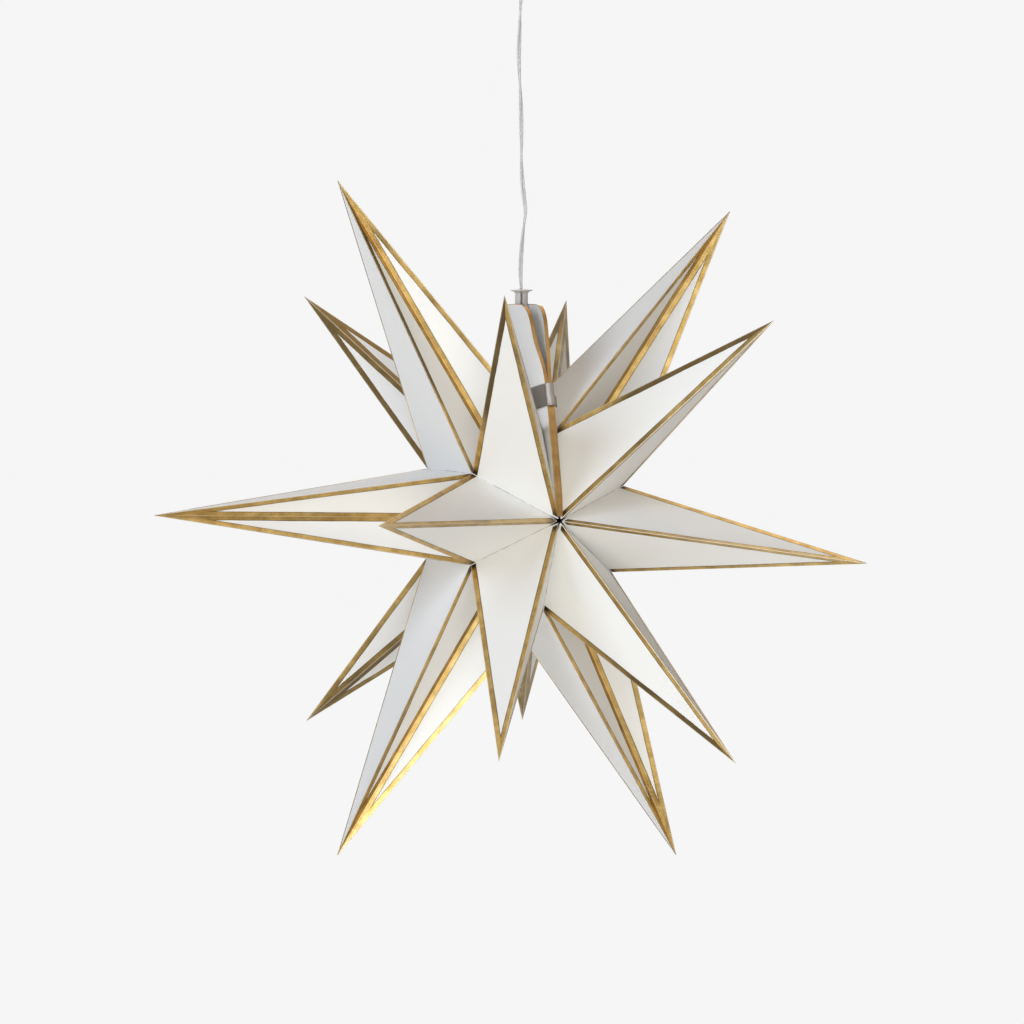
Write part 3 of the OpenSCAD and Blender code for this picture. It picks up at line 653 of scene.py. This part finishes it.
# Rows of a facet from its tip to its base, closer at the tip, and columns across it
ROWS, COLUMNS, ROW_CROWDING = 26, 8, 1.25
# The torn corner at the pole, as shares of the hole's radius
TORN_LEAST, TORN_UNEVEN = 0.5, 0.4
# A fold gap that is beyond the reach of any painted shade line
NO_FOLD_NEAR = 50.0


def facet_bow(i, side, f):
    """How far the middle of a facet stands out, in millimetres; each facet has its own."""
    return random.Random(100 * i + 10 * side + f).uniform(-0.55, 0.35)


def facet_patch(i, side, f, p):
    """A facet as rows from its tip to its base, with bow and the distance to the base fold."""
    facet = FACETS[f]
    tip, a, b = (p[k] for k in facet)
    normal = outer_normal(p, facet, side)
    bow = facet_bow(i, side, f)
    torn = HOLE_R * (TORN_LEAST + TORN_UNEVEN * abs(bow))
    points, gaps, gives = [], [], []
    height = np.linalg.norm(np.cross(unit(b - a), tip - a))
    for r in range(ROWS + 1):
        u = (r / ROWS) ** ROW_CROWDING
        left, right = lerp(tip, a, u), lerp(tip, b, u)
        for c in range(COLUMNS + 1):
            v = c / COLUMNS
            q = lerp(left, right, v)
            give = 16 * u * (1 - u) * v * (1 - v)
            gap = height * (1 - u)
            if r == ROWS and c % COLUMNS == 0 and facet[1 + c // COLUMNS] in POLES:
                # The corner at the pole is cut off, which leaves a small torn hole there
                q = q + torn * unit(tip + a + b - 3 * q)
            points.append(q + normal * give * bow)
            gaps.append(gap if f in CREASE_SHADE_FACETS else NO_FOLD_NEAR)
            gives.append(give)
    quads = wound_out(points, grid_quads(ROWS, COLUMNS), normal)
    return quads, {"verts": points, "fold_gap": gaps, "give": gives,
                   "facet_out": [normal] * len(points)}


def gathered(parts):
    """Many lots of quads and values per point, as one list of faces and one of each value."""
    faces, values = [], {}
    for quads, more in parts:
        offset = len(values.get("verts", []))
        faces += [tuple(k + offset for k in q) for q in quads]
        for key, part in more.items():
            values.setdefault(key, []).extend(part)
    return faces, values


def paper_tree():
    """Lets the card give a little between its folds, in long soft waves."""
    made, t, source, end = geometry_tree("paper_give", ("Wave Height", "Wave Size"))
    out = t.node("GeometryNodeInputNamedAttribute", {"Name": "facet_out"},
                 data_type="FLOAT_VECTOR")
    give = t.node("GeometryNodeInputNamedAttribute", {"Name": "give"}, data_type="FLOAT")
    place = t.node("GeometryNodeInputPosition").outputs[0]
    waves = t.node("ShaderNodeTexNoise", {
        "Vector": place, "Scale": t.math("DIVIDE", 1.0, source["Wave Size"]), "Detail": 1.0})
    lift = t.math("MULTIPLY", t.math("SUBTRACT", waves.outputs[0], 0.5), source["Wave Height"])
    lift = t.math("MULTIPLY", lift, give.outputs["Attribute"])
    offset = t.node("ShaderNodeVectorMath", {0: out.outputs["Attribute"], 3: lift},
                    operation="SCALE")
    moved = t.node("GeometryNodeSetPosition", {"Geometry": source["Geometry"],
                                               "Offset": offset.outputs[0]})
    finish_tree(t, moved, source, end)
    return made


PAPER_GIVE = paper_tree()
WAVES = {"Wave Height": 0.0016, "Wave Size": 0.045}
# Folds steeper than this many degrees are sharp
SHEET_SHARP = 14
# The skins are a little thinner than card and foil, so that they don't touch what they lie on
CARD_SKIN_T, FOIL_SKIN_T = CARD_T - 0.05, FOIL_T * 0.8


def made_skin(obj, material, thickness):
    """Gives an open skin its waves, and its thickness inwards, as a closed shell."""
    obj = with_tree(obj, PAPER_GIVE, {**WAVES, "Material": material})
    modifier = obj.modifiers.new("thickness", "SOLIDIFY")
    modifier.thickness = thickness * MM
    modifier.offset = -1.0
    obj = baked(obj)
    crisp(obj.data, SHEET_SHARP)
    return obj


def make_segment_card(i):
    corners = [sheet_corners(i, side) for side in (0, 1)]
    faces, values = gathered(facet_patch(i, side, f, corners[side])
                             for side in (0, 1) for f in range(len(FACETS)))
    verts = values.pop("verts")
    obj = new_object(f"card_segment_{i + 1}", hung(verts), faces, None, weld=1e-6,
                     sharp=SHEET_SHARP, attributes=values)
    piece(made_skin(obj, CARD, CARD_SKIN_T), "card", f"sheet_{i + 1}a", f"sheet_{i + 1}b")


# Which folds get a painted highlight in paper colour at their crest: (segment, tip, far end), front
# ridges mostly
CREST_HIGHLIGHTS = {(5, 1, 0): 1.0, (4, 1, 0): 1.0, (3, 1, 0): 1.0, (2, 1, 0): 0.5,
               (5, 3, 8): 0.8, (0, 3, 8): 0.8, (1, 1, 0): 0.4}
# Strips with painted dark reflections and shade: (segment, side, tip, far end)
PAINTED_DARK = {(0, 1, 1, 8): 0.75, (0, 1, 3, 8): 0.85, (0, 1, 5, 7): 0.8, (0, 1, 5, 4): 0.7,
           (1, 1, 1, 0): 0.45, (2, 1, 5, 4): 1.0, (3, 0, 1, 8): 0.7, (5, 1, 1, 0): 0.45,
           (5, 1, 1, 8): 0.85, (0, 0, 3, 8): 0.5,
           (4, 1, 1, 0): 0.35, (2, 0, 3, 8): 0.5, (1, 1, 3, 2): 0.4, (5, 1, 5, 7): 0.7,
           (5, 1, 5, 4): 0.6, (2, 0, 5, 7): 0.4, (3, 0, 5, 7): 0.5, (3, 1, 5, 7): 0.5}
# What a strip has when neither list names it: painted crest highlight, painted darkness, and
# painted darkness on side facets
USUAL_CREST_HIGHLIGHT, USUAL_PAINTED_DARK, SIDE_PAINTED_DARK = 0.25, 0.25, 0.85
# Painted shade on the strips of the back tips: for listed segments, and for the rest
BACK_PAINTED_DARK = {0: 0.85}
USUAL_BACK_PAINTED_DARK = 0.6
# The painted darkness fades towards the far end of a fold, from this share of its length, over this
# share
FADE_START, FADE_LENGTH, FADE_DEPTH = 0.55, 0.3, 0.8
STRIP_ROWS, STRIP_COLUMNS, STRIP_CROWDING = 30, 4, 1.2
# On the side facets of a ring point the foil only just turns round the fold
SIDE_FOIL_W = 0.9
# How far the inner edge of the foil wanders to either side
WANDER = 0.22
# Each strip starts this much further along the foil's own pattern than the one before
PATTERN_STEP = 410.0


def foil_strip(i, side, f, which, p, lifts):
    """The foil along one fold of a facet, from the fold to its inner edge."""
    facet = FACETS[f]
    tip_key, end_key, far_key = facet if which == 0 else (facet[0], facet[2], facet[1])
    tip, near, far = p[tip_key], p[end_key], p[far_key]
    base = far - near
    height = np.linalg.norm(np.cross(base, near - tip)) / np.linalg.norm(base)
    stop = 1 - FOIL_STOP / height
    if end_key in POLES:
        stop = min(stop, 1 - FOIL_POLE_R / POLE_TIP_R)
    d_near, d_far = unit(near - tip), unit(far - tip)
    width = SIDE_FOIL_W if f == SIDE_FACET else FOIL_W
    w = width / np.linalg.norm(np.cross(d_near, d_far))
    len_near, len_far = np.linalg.norm(near - tip), np.linalg.norm(far - tip)
    crest_start, crest_end = tip, tip + d_near * len_near * stop
    inner_start = tip + (d_near + d_far) * w
    inner_end = tip + d_near * len_near * (stop - w / len_far) + d_far * w
    normal = outer_normal(p, facet, side)
    inward = unit(np.cross(normal, d_near))
    if np.dot(inward, inner_end - crest_end) < 0:
        inward = -inward
    points, across, along, gives = [], [], [], []
    lift = lifts[(tip_key, end_key)]
    bow = facet_bow(i, side, f)
    rough = random.Random(1000 * i + 100 * side + 10 * f + which)
    wander = [rough.uniform(-WANDER, WANDER) for _ in range(STRIP_ROWS + 2)]
    for r in range(STRIP_ROWS + 1):
        u = (r / STRIP_ROWS) ** STRIP_CROWDING
        outer, inner = lerp(crest_start, crest_end, u), lerp(inner_start, inner_end, u)
        if 1 < r < STRIP_ROWS:
            sway = (wander[r] + wander[r - 1] + wander[r + 1]) / 3
            inner = inner + inward * sway * width / FOIL_W
        for c in range(STRIP_COLUMNS + 1):
            v = c / STRIP_COLUMNS
            q = lerp(outer, inner, v)
            share = barycentric(q, tip, p[facet[1]], p[facet[2]])
            give = 16 * (1 - share[0]) * share[0] * share[1] * share[2] \
                / max(1e-9, (share[1] + share[2]) ** 2)
            raised = lift if c == 0 else normal
            points.append(q + normal * give * bow + raised * FOIL_T)
            across.append(float(np.dot(q - tip, inward)))
            along.append(float(np.dot(q - tip, d_near)))
            gives.append(give)
    quads = wound_out(points, grid_quads(STRIP_ROWS, STRIP_COLUMNS), normal)
    # The painted crest highlight, none on side facets
    crest_highlight = 0.0 if f == SIDE_FACET else CREST_HIGHLIGHTS.get((i, tip_key, end_key), USUAL_CREST_HIGHLIGHT)
    shift = PATTERN_STEP * (2 * len(FACETS) * (2 * i + side) + 2 * f + which)
    return quads, {"verts": points, "across": across, "along": [a + shift for a in along],
                   "give": gives, "facet_out": [normal] * len(points),
                   "crest": [crest_highlight] * len(points),
                   "painted_dark": strip_painted_dark(i, side, f, end_key)}


def strip_painted_dark(i, side, f, end_key):
    """How much painted dark reflection and shade each point of a strip has, from the tip to the far
    end of its fold.
    """
    tip = FACETS[f][0]
    usual = USUAL_PAINTED_DARK
    if f == SIDE_FACET:
        usual = SIDE_PAINTED_DARK
    elif tip == BACK_TIP:
        usual = BACK_PAINTED_DARK.get(i, USUAL_BACK_PAINTED_DARK)
    whole = PAINTED_DARK.get((i, side, tip, end_key), usual)
    rows = []
    for r in range(STRIP_ROWS):
        u = (r / STRIP_ROWS) ** STRIP_CROWDING
        fade = FADE_DEPTH * float(smooth_step((u - FADE_START) / FADE_LENGTH))
        rows.append(whole if tip == BACK_TIP else whole * (1 - fade))
    rows.append(1.0)
    return [value for value in rows for _ in range(STRIP_COLUMNS + 1)]


def barycentric(q, a, b, c):
    ab, ac, aq = b - a, c - a, q - a
    d00, d01, d11 = ab @ ab, ab @ ac, ac @ ac
    d20, d21 = aq @ ab, aq @ ac
    det = d00 * d11 - d01 * d01
    v, w = (d11 * d20 - d01 * d21) / det, (d00 * d21 - d01 * d20) / det
    return 1 - v - w, v, w


def fold_lifts(i):
    """For each fold, the direction that is as high above both facets that meet there."""
    found = {}
    for side in (0, 1):
        p = sheet_corners(i, side)
        for facet in FACETS:
            n = outer_normal(p, facet, side)
            for end in facet[1:]:
                key = (facet[0], end, side if end in (7, 8) else 2)
                found.setdefault(key, []).append(n)
    return {key: (a + b) / (1 + a @ b) for key, (a, b) in found.items()}


def make_segment_foil(i):
    all_lifts = fold_lifts(i)
    strips = []
    for side in (0, 1):
        p = sheet_corners(i, side)
        lifts = {(tip, end): lift for (tip, end, s), lift in all_lifts.items() if s in (side, 2)}
        strips += [foil_strip(i, side, f, which, p, lifts)
                   for f in range(len(FACETS)) for which in (0, 1)]
    faces, values = gathered(strips)
    verts, across, along = values.pop("verts"), values["across"], values.pop("along")
    obj = new_object(f"foil_segment_{i + 1}", hung(verts), faces, None, sharp=SHEET_SHARP,
                     uv=np.stack([along, across], 1) * MM, attributes=values)
    piece(made_skin(obj, FOIL, FOIL_SKIN_T), "gold_foil", f"edging_{i + 1}a", f"edging_{i + 1}b")


for segment in range(SEGMENTS):
    make_segment_card(segment)
    make_segment_foil(segment)


# End boards

SHOULDER_R = BOARD_TOP_R - CORNER_ROUND
LEAN_TOP_R = 145.0
LEAN_X = CORNER_R * math.sin(math.radians(SEAM_LEAN))
CLIP_END_R = CLIP_R + CLIP_W / 2
CLIP_LOW_R = CLIP_R - CLIP_W / 2
MOUTH_R = BOARD_TOP_R - 15
BOW_POWER = 4
EDGE_PARTS, ROUND_PARTS, TOP_PARTS, BOARD_COLUMNS = 30, 14, 8, 10
# Both shoulders slope a little: from which height, over how much more, and by which share
FRONT_SLOPE, BACK_SLOPE = (112, 40, 0.13), (115, 35, 0.4)
# The foil round the rim: how far out, at which share of the thickness, how far off the face
RIM_SECTION = [(-0.5, 1.0, 0.05), (0.0, 1.0, 0.05), (0.06, 0.8, 0.0), (0.08, 0.5, 0.0),
               (0.06, 0.2, 0.0), (0.0, 0.0, -0.05), (-0.5, 0.0, -0.05)]
RIM_CLEAR = 0.04


def board_edge(r):
    u = r / SHOULDER_R
    return BOARD_FOOT_Y + (SHOULDER_Y - BOARD_FOOT_Y) * u - 4 * BOARD_BOW * u * (1 - u)


def seam_x(r):
    if r > LEAN_TOP_R:
        return 0.0
    return LEAN_X * math.sin(math.pi * r / LEAN_TOP_R) / math.sin(math.pi * CORNER_R / LEAN_TOP_R)


def half_gap(y, r):
    edge = lerp(PINCH_GAP, MOUTH_GAP, smooth_step((r - CLIP_END_R) / (MOUTH_R - CLIP_END_R)))
    middle = lerp(BELLY_GAP, BUSH_D / 2 + BUSH_PLAY, smooth_step((r - CORNER_R) / 60))
    share = min(1.0, abs(y) / board_edge(min(r, SHOULDER_R)))
    return lerp(middle, edge, share ** BOW_POWER)


def board_place(y, r, hand, depth):
    return np.array([seam_x(r) + hand * (half_gap(y, r) + depth), -y, r])


def sloped(y, r, slope):
    start, length, share = slope
    return y * (1 - share * smooth_step((r - start) / length))


def board_rims():
    """The outer and inner rims of a board, from its front foot over the top to its back foot."""
    heights = [lerp(HOLE_R, SHOULDER_R, k / EDGE_PARTS) for k in range(EDGE_PARTS + 1)]
    outer = [(board_edge(r), r) for r in heights]
    flat = SHOULDER_Y - CORNER_ROUND
    for k in range(1, ROUND_PARTS + 1):
        a = math.pi / 2 * k / ROUND_PARTS
        outer.append((flat + CORNER_ROUND * math.cos(a), SHOULDER_R + CORNER_ROUND * math.sin(a)))
    outer += [(flat * (1 - k / TOP_PARTS), BOARD_TOP_R) for k in range(1, TOP_PARTS + 1)]
    foot = (POLE_Y - (POLE_Y - CORNER_Y) * HOLE_R / CORNER_R - BOARD_LAP / 2, HOLE_R)
    knee = (CORNER_Y - BOARD_LAP / 2, CORNER_R - BOARD_LAP)
    inner = []
    for k in range(len(outer)):
        if k <= EDGE_PARTS:
            t = k / EDGE_PARTS
            inner.append((lerp(foot[0], knee[0], t), lerp(foot[1], knee[1], t)))
        else:
            t = (k - EDGE_PARTS) / (len(outer) - EDGE_PARTS - 1)
            inner.append((lerp(knee[0], 0.0, t), knee[1]))
    half = len(outer) - 2
    back = [(-sloped(y, r, BACK_SLOPE), r) for y, r in outer[half::-1]]
    outer = [(sloped(y, r, FRONT_SLOPE), r) for y, r in outer] + back
    inner += [(-y, r) for y, r in inner[half::-1]]
    return outer, inner


def board_solid(outer, inner, hand):
    """Two faces from rim to rim, one board's thickness apart, and the edges between them."""
    verts = []
    for depth in (BOARD_T, 0.0):
        for (ya, ra), (yb, rb) in zip(outer, inner):
            for c in range(BOARD_COLUMNS + 1):
                t = c / BOARD_COLUMNS
                verts.append(board_place(lerp(yb, ya, t), lerp(rb, ra, t), hand, depth))
    width, n = BOARD_COLUMNS + 1, len(outer) * (BOARD_COLUMNS + 1)
    front = grid_quads(len(outer) - 1, BOARD_COLUMNS)
    faces = front + [(n + a, n + d, n + c, n + b) for a, b, c, d in front]
    for a in range(0, n - width, width):
        b, c, d = a + width, a + BOARD_COLUMNS, a + width + BOARD_COLUMNS
        faces += [(a, b, n + b, n + a), (c, n + c, n + d, d)]
    for a in range(BOARD_COLUMNS):
        b = a + n - width
        faces += [(a, n + a, n + a + 1, a + 1), (b, b + 1, n + b + 1, n + b)]
    return verts, faces


def board_rim_foil(outer, hand):
    """The foil over the edge of a board and a little way on to both its faces."""
    verts, along, sideways = [], [], []
    reach = 0.0
    for k, (y, r) in enumerate(outer):
        y0, r0 = outer[max(0, k - 1)]
        y1, r1 = outer[min(len(outer) - 1, k + 1)]
        run = np.array([y1 - y0, r1 - r0])
        normal = np.array([-run[1], run[0]]) / max(1e-9, np.linalg.norm(run))
        if normal @ np.array([y, r - 90.0]) < 0:
            normal = -normal
        if k:
            reach += math.hypot(y - y0, r - r0)
        for out, share, lift in RIM_SECTION:
            off = out + RIM_CLEAR
            place = board_place(y, r, hand, BOARD_T * share)
            verts.append(place + np.array([hand * lift, -normal[0] * off, normal[1] * off]))
            along.append(reach)
            sideways.append(BOARD_T * share)
    faces = grid_quads(len(outer) - 1, len(RIM_SECTION) - 1)
    return verts, faces, np.stack([along, sideways], 1) * MM


def make_board(name, hand, node, rim_node):
    outer, inner = board_rims()
    verts, faces = board_solid(outer, inner, hand)
    board = new_object(name, hung(verts), faces, BOARD, sharp=40)
    outward(board)
    piece(board, "board", node)
    verts, faces, uv = board_rim_foil(outer, hand)
    rim = new_object(name + "_rim", hung(verts), faces, RIM_FOIL, sharp=50, uv=uv)
    outward(rim)
    piece(rim, "gold_foil", rim_node)


make_board("left_board", -1, "end_board_left", "board_edging_left")
make_board("right_board", 1, "end_board_right", "board_edging_right")


# Clips

LEG_PARTS, BEND_PARTS, GRIP_PARTS, LIP_PARTS, CLIP_ROWS = 12, 20, 4, 6, 8


def leg_x(s):
    return BOARD_T + CLIP_PLAY + max(half_gap(board_edge(r) - s, r)
                                     for r in (CLIP_LOW_R, CLIP_R, CLIP_END_R))


def clip_outline():
    """Middle line of the steel from the broad leg's end round the bend to the narrow leg."""
    half = CLIP_T / 2
    bend = PINCH_GAP + BOARD_T + CLIP_PLAY + half
    legs = [CLIP_LEG * k / LEG_PARTS for k in range(LEG_PARTS, -1, -1)]
    line = [(-leg_x(s) - half, s) for s in legs]
    for k in range(1, BEND_PARTS):
        a = math.pi + math.pi * k / BEND_PARTS
        line.append((bend * math.cos(a), bend * math.sin(a)))
    grips = [TONGUE_GRIP * k / GRIP_PARTS for k in range(GRIP_PARTS + 1)]
    narrow = [(leg_x(s) + half, s) for s in grips]
    step = TONGUE_LIP / LIP_PARTS
    for k in range(1, LIP_PARTS + 1):
        turn = math.radians(TONGUE_ANGLE) * min(1.0, k / 3)
        x, y = narrow[-1]
        narrow.append((x + step * math.sin(turn), y + step * math.cos(turn)))
    return line, narrow


def make_clip(name, node, back):
    line, narrow = clip_outline()
    tilt = math.atan((board_edge(CLIP_END_R) - board_edge(CLIP_LOW_R)) / CLIP_W)
    lean = math.atan((seam_x(CLIP_END_R) - seam_x(CLIP_LOW_R)) / CLIP_W)
    heights = [-CLIP_W / 2 + CLIP_W * r / CLIP_ROWS for r in range(CLIP_ROWS + 1)]
    verts = []
    for k, (x, y) in enumerate(line):
        for r, z in enumerate(heights):
            if k <= LEG_PARTS:
                # The broad leg is cut on a slant: its lower corner is shorter than its upper one
                end = lerp(CLIP_LEG_LOW, CLIP_LEG, r / CLIP_ROWS)
                y = end * (LEG_PARTS - k) / LEG_PARTS
                x = -leg_x(y) - CLIP_T / 2
            verts.append((x, y, z))
    faces = grid_quads(len(line) - 1, CLIP_ROWS)
    start, lower = len(verts), CLIP_ROWS // 2
    for x, y in narrow:
        verts += [(x, y, z) for z in heights[:lower + 1]]
    last = start - CLIP_ROWS - 1
    faces += [(last + r, last + r + 1, start + r + 1, start + r) for r in range(lower)]
    faces += grid_quads(len(narrow) - 1, lower, start)
    verts = np.array(verts)
    turn = np.array(Euler((tilt, 0, 0)).to_matrix())
    sway = np.array(Euler((0, lean, 0)).to_matrix())
    verts = verts @ turn.T @ sway.T + np.array([seam_x(CLIP_R), -board_edge(CLIP_R), CLIP_R])
    if back:
        verts = verts * np.array([1, -1, 1])
    clip = new_object(name, hung(verts), faces, CLIP_STEEL, weld=1e-6, sharp=50)
    outward(clip)
    thickness = clip.modifiers.new("steel", "SOLIDIFY")
    thickness.thickness = CLIP_T * MM
    thickness.offset = 0.0
    edge = clip.modifiers.new("edge", "BEVEL")
    edge.width = 0.12 * MM
    edge.segments = 2
    edge.limit_method = "ANGLE"
    edge.angle_limit = math.radians(50)
    clip = baked(clip)
    crisp(clip.data, 35)
    piece(clip, "clip_steel", node)


make_clip("front_spring_clip", "front_clip", False)
make_clip("back_spring_clip", "back_clip", True)


# Turned pieces: bushing, cup, grip

def turned(name, profile, material, steps=96, at=(0, 0, 0), sharp=35):
    """A closed ring of the profile, given as (r, z) in order."""
    verts, faces = [], []
    n = len(profile)
    for s in range(steps):
        a = 2 * math.pi * s / steps
        verts += [(at[0] + r * math.cos(a), at[1] + r * math.sin(a), at[2] + z)
                  for r, z in profile]
    for s in range(steps):
        for k in range(n):
            a, b = s * n, (s + 1) % steps * n
            j = (k + 1) % n
            faces.append((a + k, b + k, b + j, a + j))
    obj = new_object(name, np.array(verts) * MM, faces, material, weld=1e-7, sharp=sharp)
    outward(obj)
    return obj


def rounded(profile, radii, parts=5):
    """The profile with its corners rounded; radii is one value per corner."""
    out = []
    n = len(profile)
    for k in range(n):
        p, q, s = (np.array(profile[(k + d) % n], float) for d in (-1, 0, 1))
        r = radii[k]
        if r <= 0:
            out.append(tuple(q))
            continue
        a, b = unit(p - q), unit(s - q)
        for t in np.linspace(0, 1, parts + 1):
            m0, m1 = q + a * r, q + b * r
            out.append(tuple((1 - t) ** 2 * m0 + 2 * t * (1 - t) * q + t * t * m1))
    return out


def make_bushing():
    flange_z = BOARD_TOP_R + BUSH_NECK
    foot_z = BOARD_TOP_R - BUSH_GRIP
    bore, tube, rim = BUSH_BORE_D / 2, BUSH_D / 2, BUSH_FLANGE_D / 2
    profile = [(bore, foot_z), (tube - 0.6, foot_z), (tube, foot_z + 1.2), (tube, flange_z - 1),
               (tube + 1, flange_z), (rim, flange_z + 0.95), (rim, flange_z + 1.45),
               (bore + 1, flange_z + BUSH_FLANGE_T), (bore, flange_z + BUSH_FLANGE_T)]
    shape = rounded(profile, [0.2, 0.3, 0.3, 0.5, 0.5, 0.2, 0.2, 0.5, 0.2], 4)
    bush = turned("cord_bushing_tube", shape, BUSHING, at=(0, 0, -STAR_DROP))
    cutter_mesh = bmesh.new()
    bmesh.ops.create_cube(cutter_mesh, size=1.0)
    size = np.array([BUSH_SLOT, 2 * BUSH_D, BUSH_NECK + BUSH_GRIP + 0.6]) * MM
    turn = Euler((0, 0, math.radians(BUSH_TURN))).to_matrix()
    middle = Vector((0, 0, (foot_z - 1 - STAR_DROP) * MM + size[2] / 2))
    for v in cutter_mesh.verts:
        v.co = turn @ Vector(size * np.array(v.co)) + middle
    mesh = bpy.data.meshes.new("slot")
    cutter_mesh.to_mesh(mesh)
    cutter_mesh.free()
    cutter = in_scene(bpy.data.objects.new("slot", mesh))
    slot = bush.modifiers.new("slot", "BOOLEAN")
    slot.operation = "DIFFERENCE"
    slot.solver = "EXACT"
    slot.object = cutter
    bush = baked(bush)
    bpy.data.objects.remove(cutter)
    crisp(bush.data, 35)
    piece(bush, "bushing_plastic", "cord_bushing")


def make_cup():
    r, bend, hole = CUP_D / 2, 8.0, NIPPLE_D / 2 + 0.4
    turns = np.linspace(0, math.pi / 2, 15)

    def arc(radius):
        return [(r - bend + radius * math.sin(a), -CUP_H + bend - radius * math.cos(a))
                for a in turns]
    lip = [(r, -1.2), (r - 0.25, -0.9), (r - 0.25, 0), (r - CUP_WALL, 0)]
    profile = [(hole, -CUP_H)] + arc(bend) + lip + arc(bend - CUP_WALL)[::-1]
    profile.append((hole, -CUP_H + CUP_WALL))
    piece(turned("ceiling_cup_shell", profile, CUP, steps=128), "cup_plastic", "ceiling_cup")


def make_grip():
    """The cord grip below the cup: a screwed collar with finger ribs and a tapered nose."""
    r, foot = GRIP_D / 2, -CUP_H - GRIP_H
    cord, nipple = CORD_D / 2 + 0.4, NIPPLE_D / 2 + 0.2
    nipple_foot = -(CUP_H + GRIP_H - 4)
    profile = [(cord, foot), (r - 3, foot), (r - 1, foot + 3), (r, foot + 6), (r, -CUP_H),
               (nipple, -CUP_H), (nipple, nipple_foot), (cord, nipple_foot)]
    shape = rounded(profile, [0.3, 0.6, 0.8, 0.8, 0.3, 0.2, 0.2, 0.2], 5)
    grip = turned("cord_grip_collar", shape, CUP, steps=120)
    mesh = grip.data
    for v in mesh.vertices:
        radius = math.hypot(v.co.x, v.co.y)
        z = v.co.z / MM
        if radius > (r - 1.5) * MM and foot + 5 < z < -CUP_H - 0.8:
            a = math.atan2(v.co.y, v.co.x)
            dip = 0.22 * MM * (0.5 + 0.5 * math.cos(24 * a))
            v.co.x *= 1 - dip / radius
            v.co.y *= 1 - dip / radius
    piece(grip, "cup_plastic", "cord_grip")


make_bushing()
make_cup()
make_grip()


# Solids that are shown as they are, with their own finishes

def finish_solids():
    finishes = {"holder_cap": HOLDER, "holder_body": HOLDER, "holder_terminals": HOLDER,
                "screw_shell": BRASS, "centre_contact": BRASS, "bulb": GLOBE,
                "ceiling_plate": ZINC, "cup_nipple": BRASS, "cup_terminals": HOLDER}
    for node, material in finishes.items():
        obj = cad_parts[node]
        obj.data.materials.clear()
        obj.data.materials.append(material)


finish_solids()


# Studio

# All in metres here. The floor glows by itself where it is looked at, to be as pale as the
# world behind it, and keeps a share for the object's shadow
PALE, FLOOR_GLOW, GLOW_SHARE = 0.92, 0.957, 0.955
FLOOR_SIDE, FLOOR_Z = 30.0, -2.6
FILL = 0.13
LAMP_SIDE = 2.2
# The lamps: place, power in watts, colour
LAMPS = {"key_left": ((-3.2, -1.6, 1.0), 72.0, (0.76, 0.86, 1.0)),
         "front_high": ((-1.2, -3.4, 1.4), 28.0, (1.0, 0.97, 0.86)),
         "front_low": ((-1.4, -3.4, -1.3), 59.0, (1.0, 0.99, 0.9)),
         "right": ((2.4, -1.8, 0.4), 6.0, (1.0, 0.7, 0.4)),
         "top": ((0.3, 0.4, 2.4), 15.0, (1.0, 0.78, 0.55)),
         "back": ((1.4, 3.6, 1.2), 34.0, (1.0, 0.98, 0.95)),
         "back_low": ((-0.6, 3.4, -1.1), 16.0, (0.95, 0.97, 1.0)),
         "left_low": ((-3.0, -1.0, -1.3), 7.0, (1.0, 0.72, 0.5))}


def grey(tone):
    return (tone, tone, tone, 1)


def make_floor():
    material, t, shader = new_material("studio_floor", Roughness=0.9)
    dress(t, shader, Base_Color=grey(PALE))
    glow = t.node("ShaderNodeEmission", {"Color": grey(FLOOR_GLOW), "Strength": 1.0})
    mixed = t.node("ShaderNodeMixShader", {0: t.math("MULTIPLY", t.seen_rays(), GLOW_SHARE),
                                           1: shader.outputs[0], 2: glow.outputs[0]})
    dress(t, material.node_tree.nodes["Material Output"], Surface=mixed.outputs[0])
    corners = [(x * FLOOR_SIDE, y * FLOOR_SIDE, FLOOR_Z)
               for x, y in ((-1, -1), (1, -1), (1, 1), (-1, 1))]
    floor = new_object("studio_floor", corners, [(0, 1, 2, 3)], material)


def make_world():
    world = bpy.data.worlds.new("studio")
    bpy.context.scene.world = world
    world.use_nodes = True
    t = Tree(world.node_tree)
    world.node_tree.nodes.clear()
    fill = t.node("ShaderNodeBackground", {"Color": grey(1.0), "Strength": FILL})
    pale = t.node("ShaderNodeBackground", {"Color": grey(PALE), "Strength": 1.0})
    mixed = t.node("ShaderNodeMixShader", {0: t.seen_rays(), 1: fill.outputs[0],
                                           2: pale.outputs[0]})
    t.node("ShaderNodeOutputWorld", {"Surface": mixed.outputs[0]})


def make_lamp(name, place, power, colour):
    """A square soft lamp that faces the star."""
    data = bpy.data.lights.new(name, "AREA")
    data.shape = "RECTANGLE"
    data.size = data.size_y = LAMP_SIDE
    data.energy = power
    data.color = colour
    lamp = in_scene(bpy.data.objects.new(name, data))
    lamp.location = place
    toward = Vector((0, 0, -STAR_DROP * MM)) - Vector(place)
    lamp.rotation_euler = toward.to_track_quat("-Z", "Y").to_euler()


make_floor()
make_world()
for lamp_name, settings in LAMPS.items():
    make_lamp(lamp_name, *settings)

bpy.context.scene.view_settings.view_transform = "Standard"
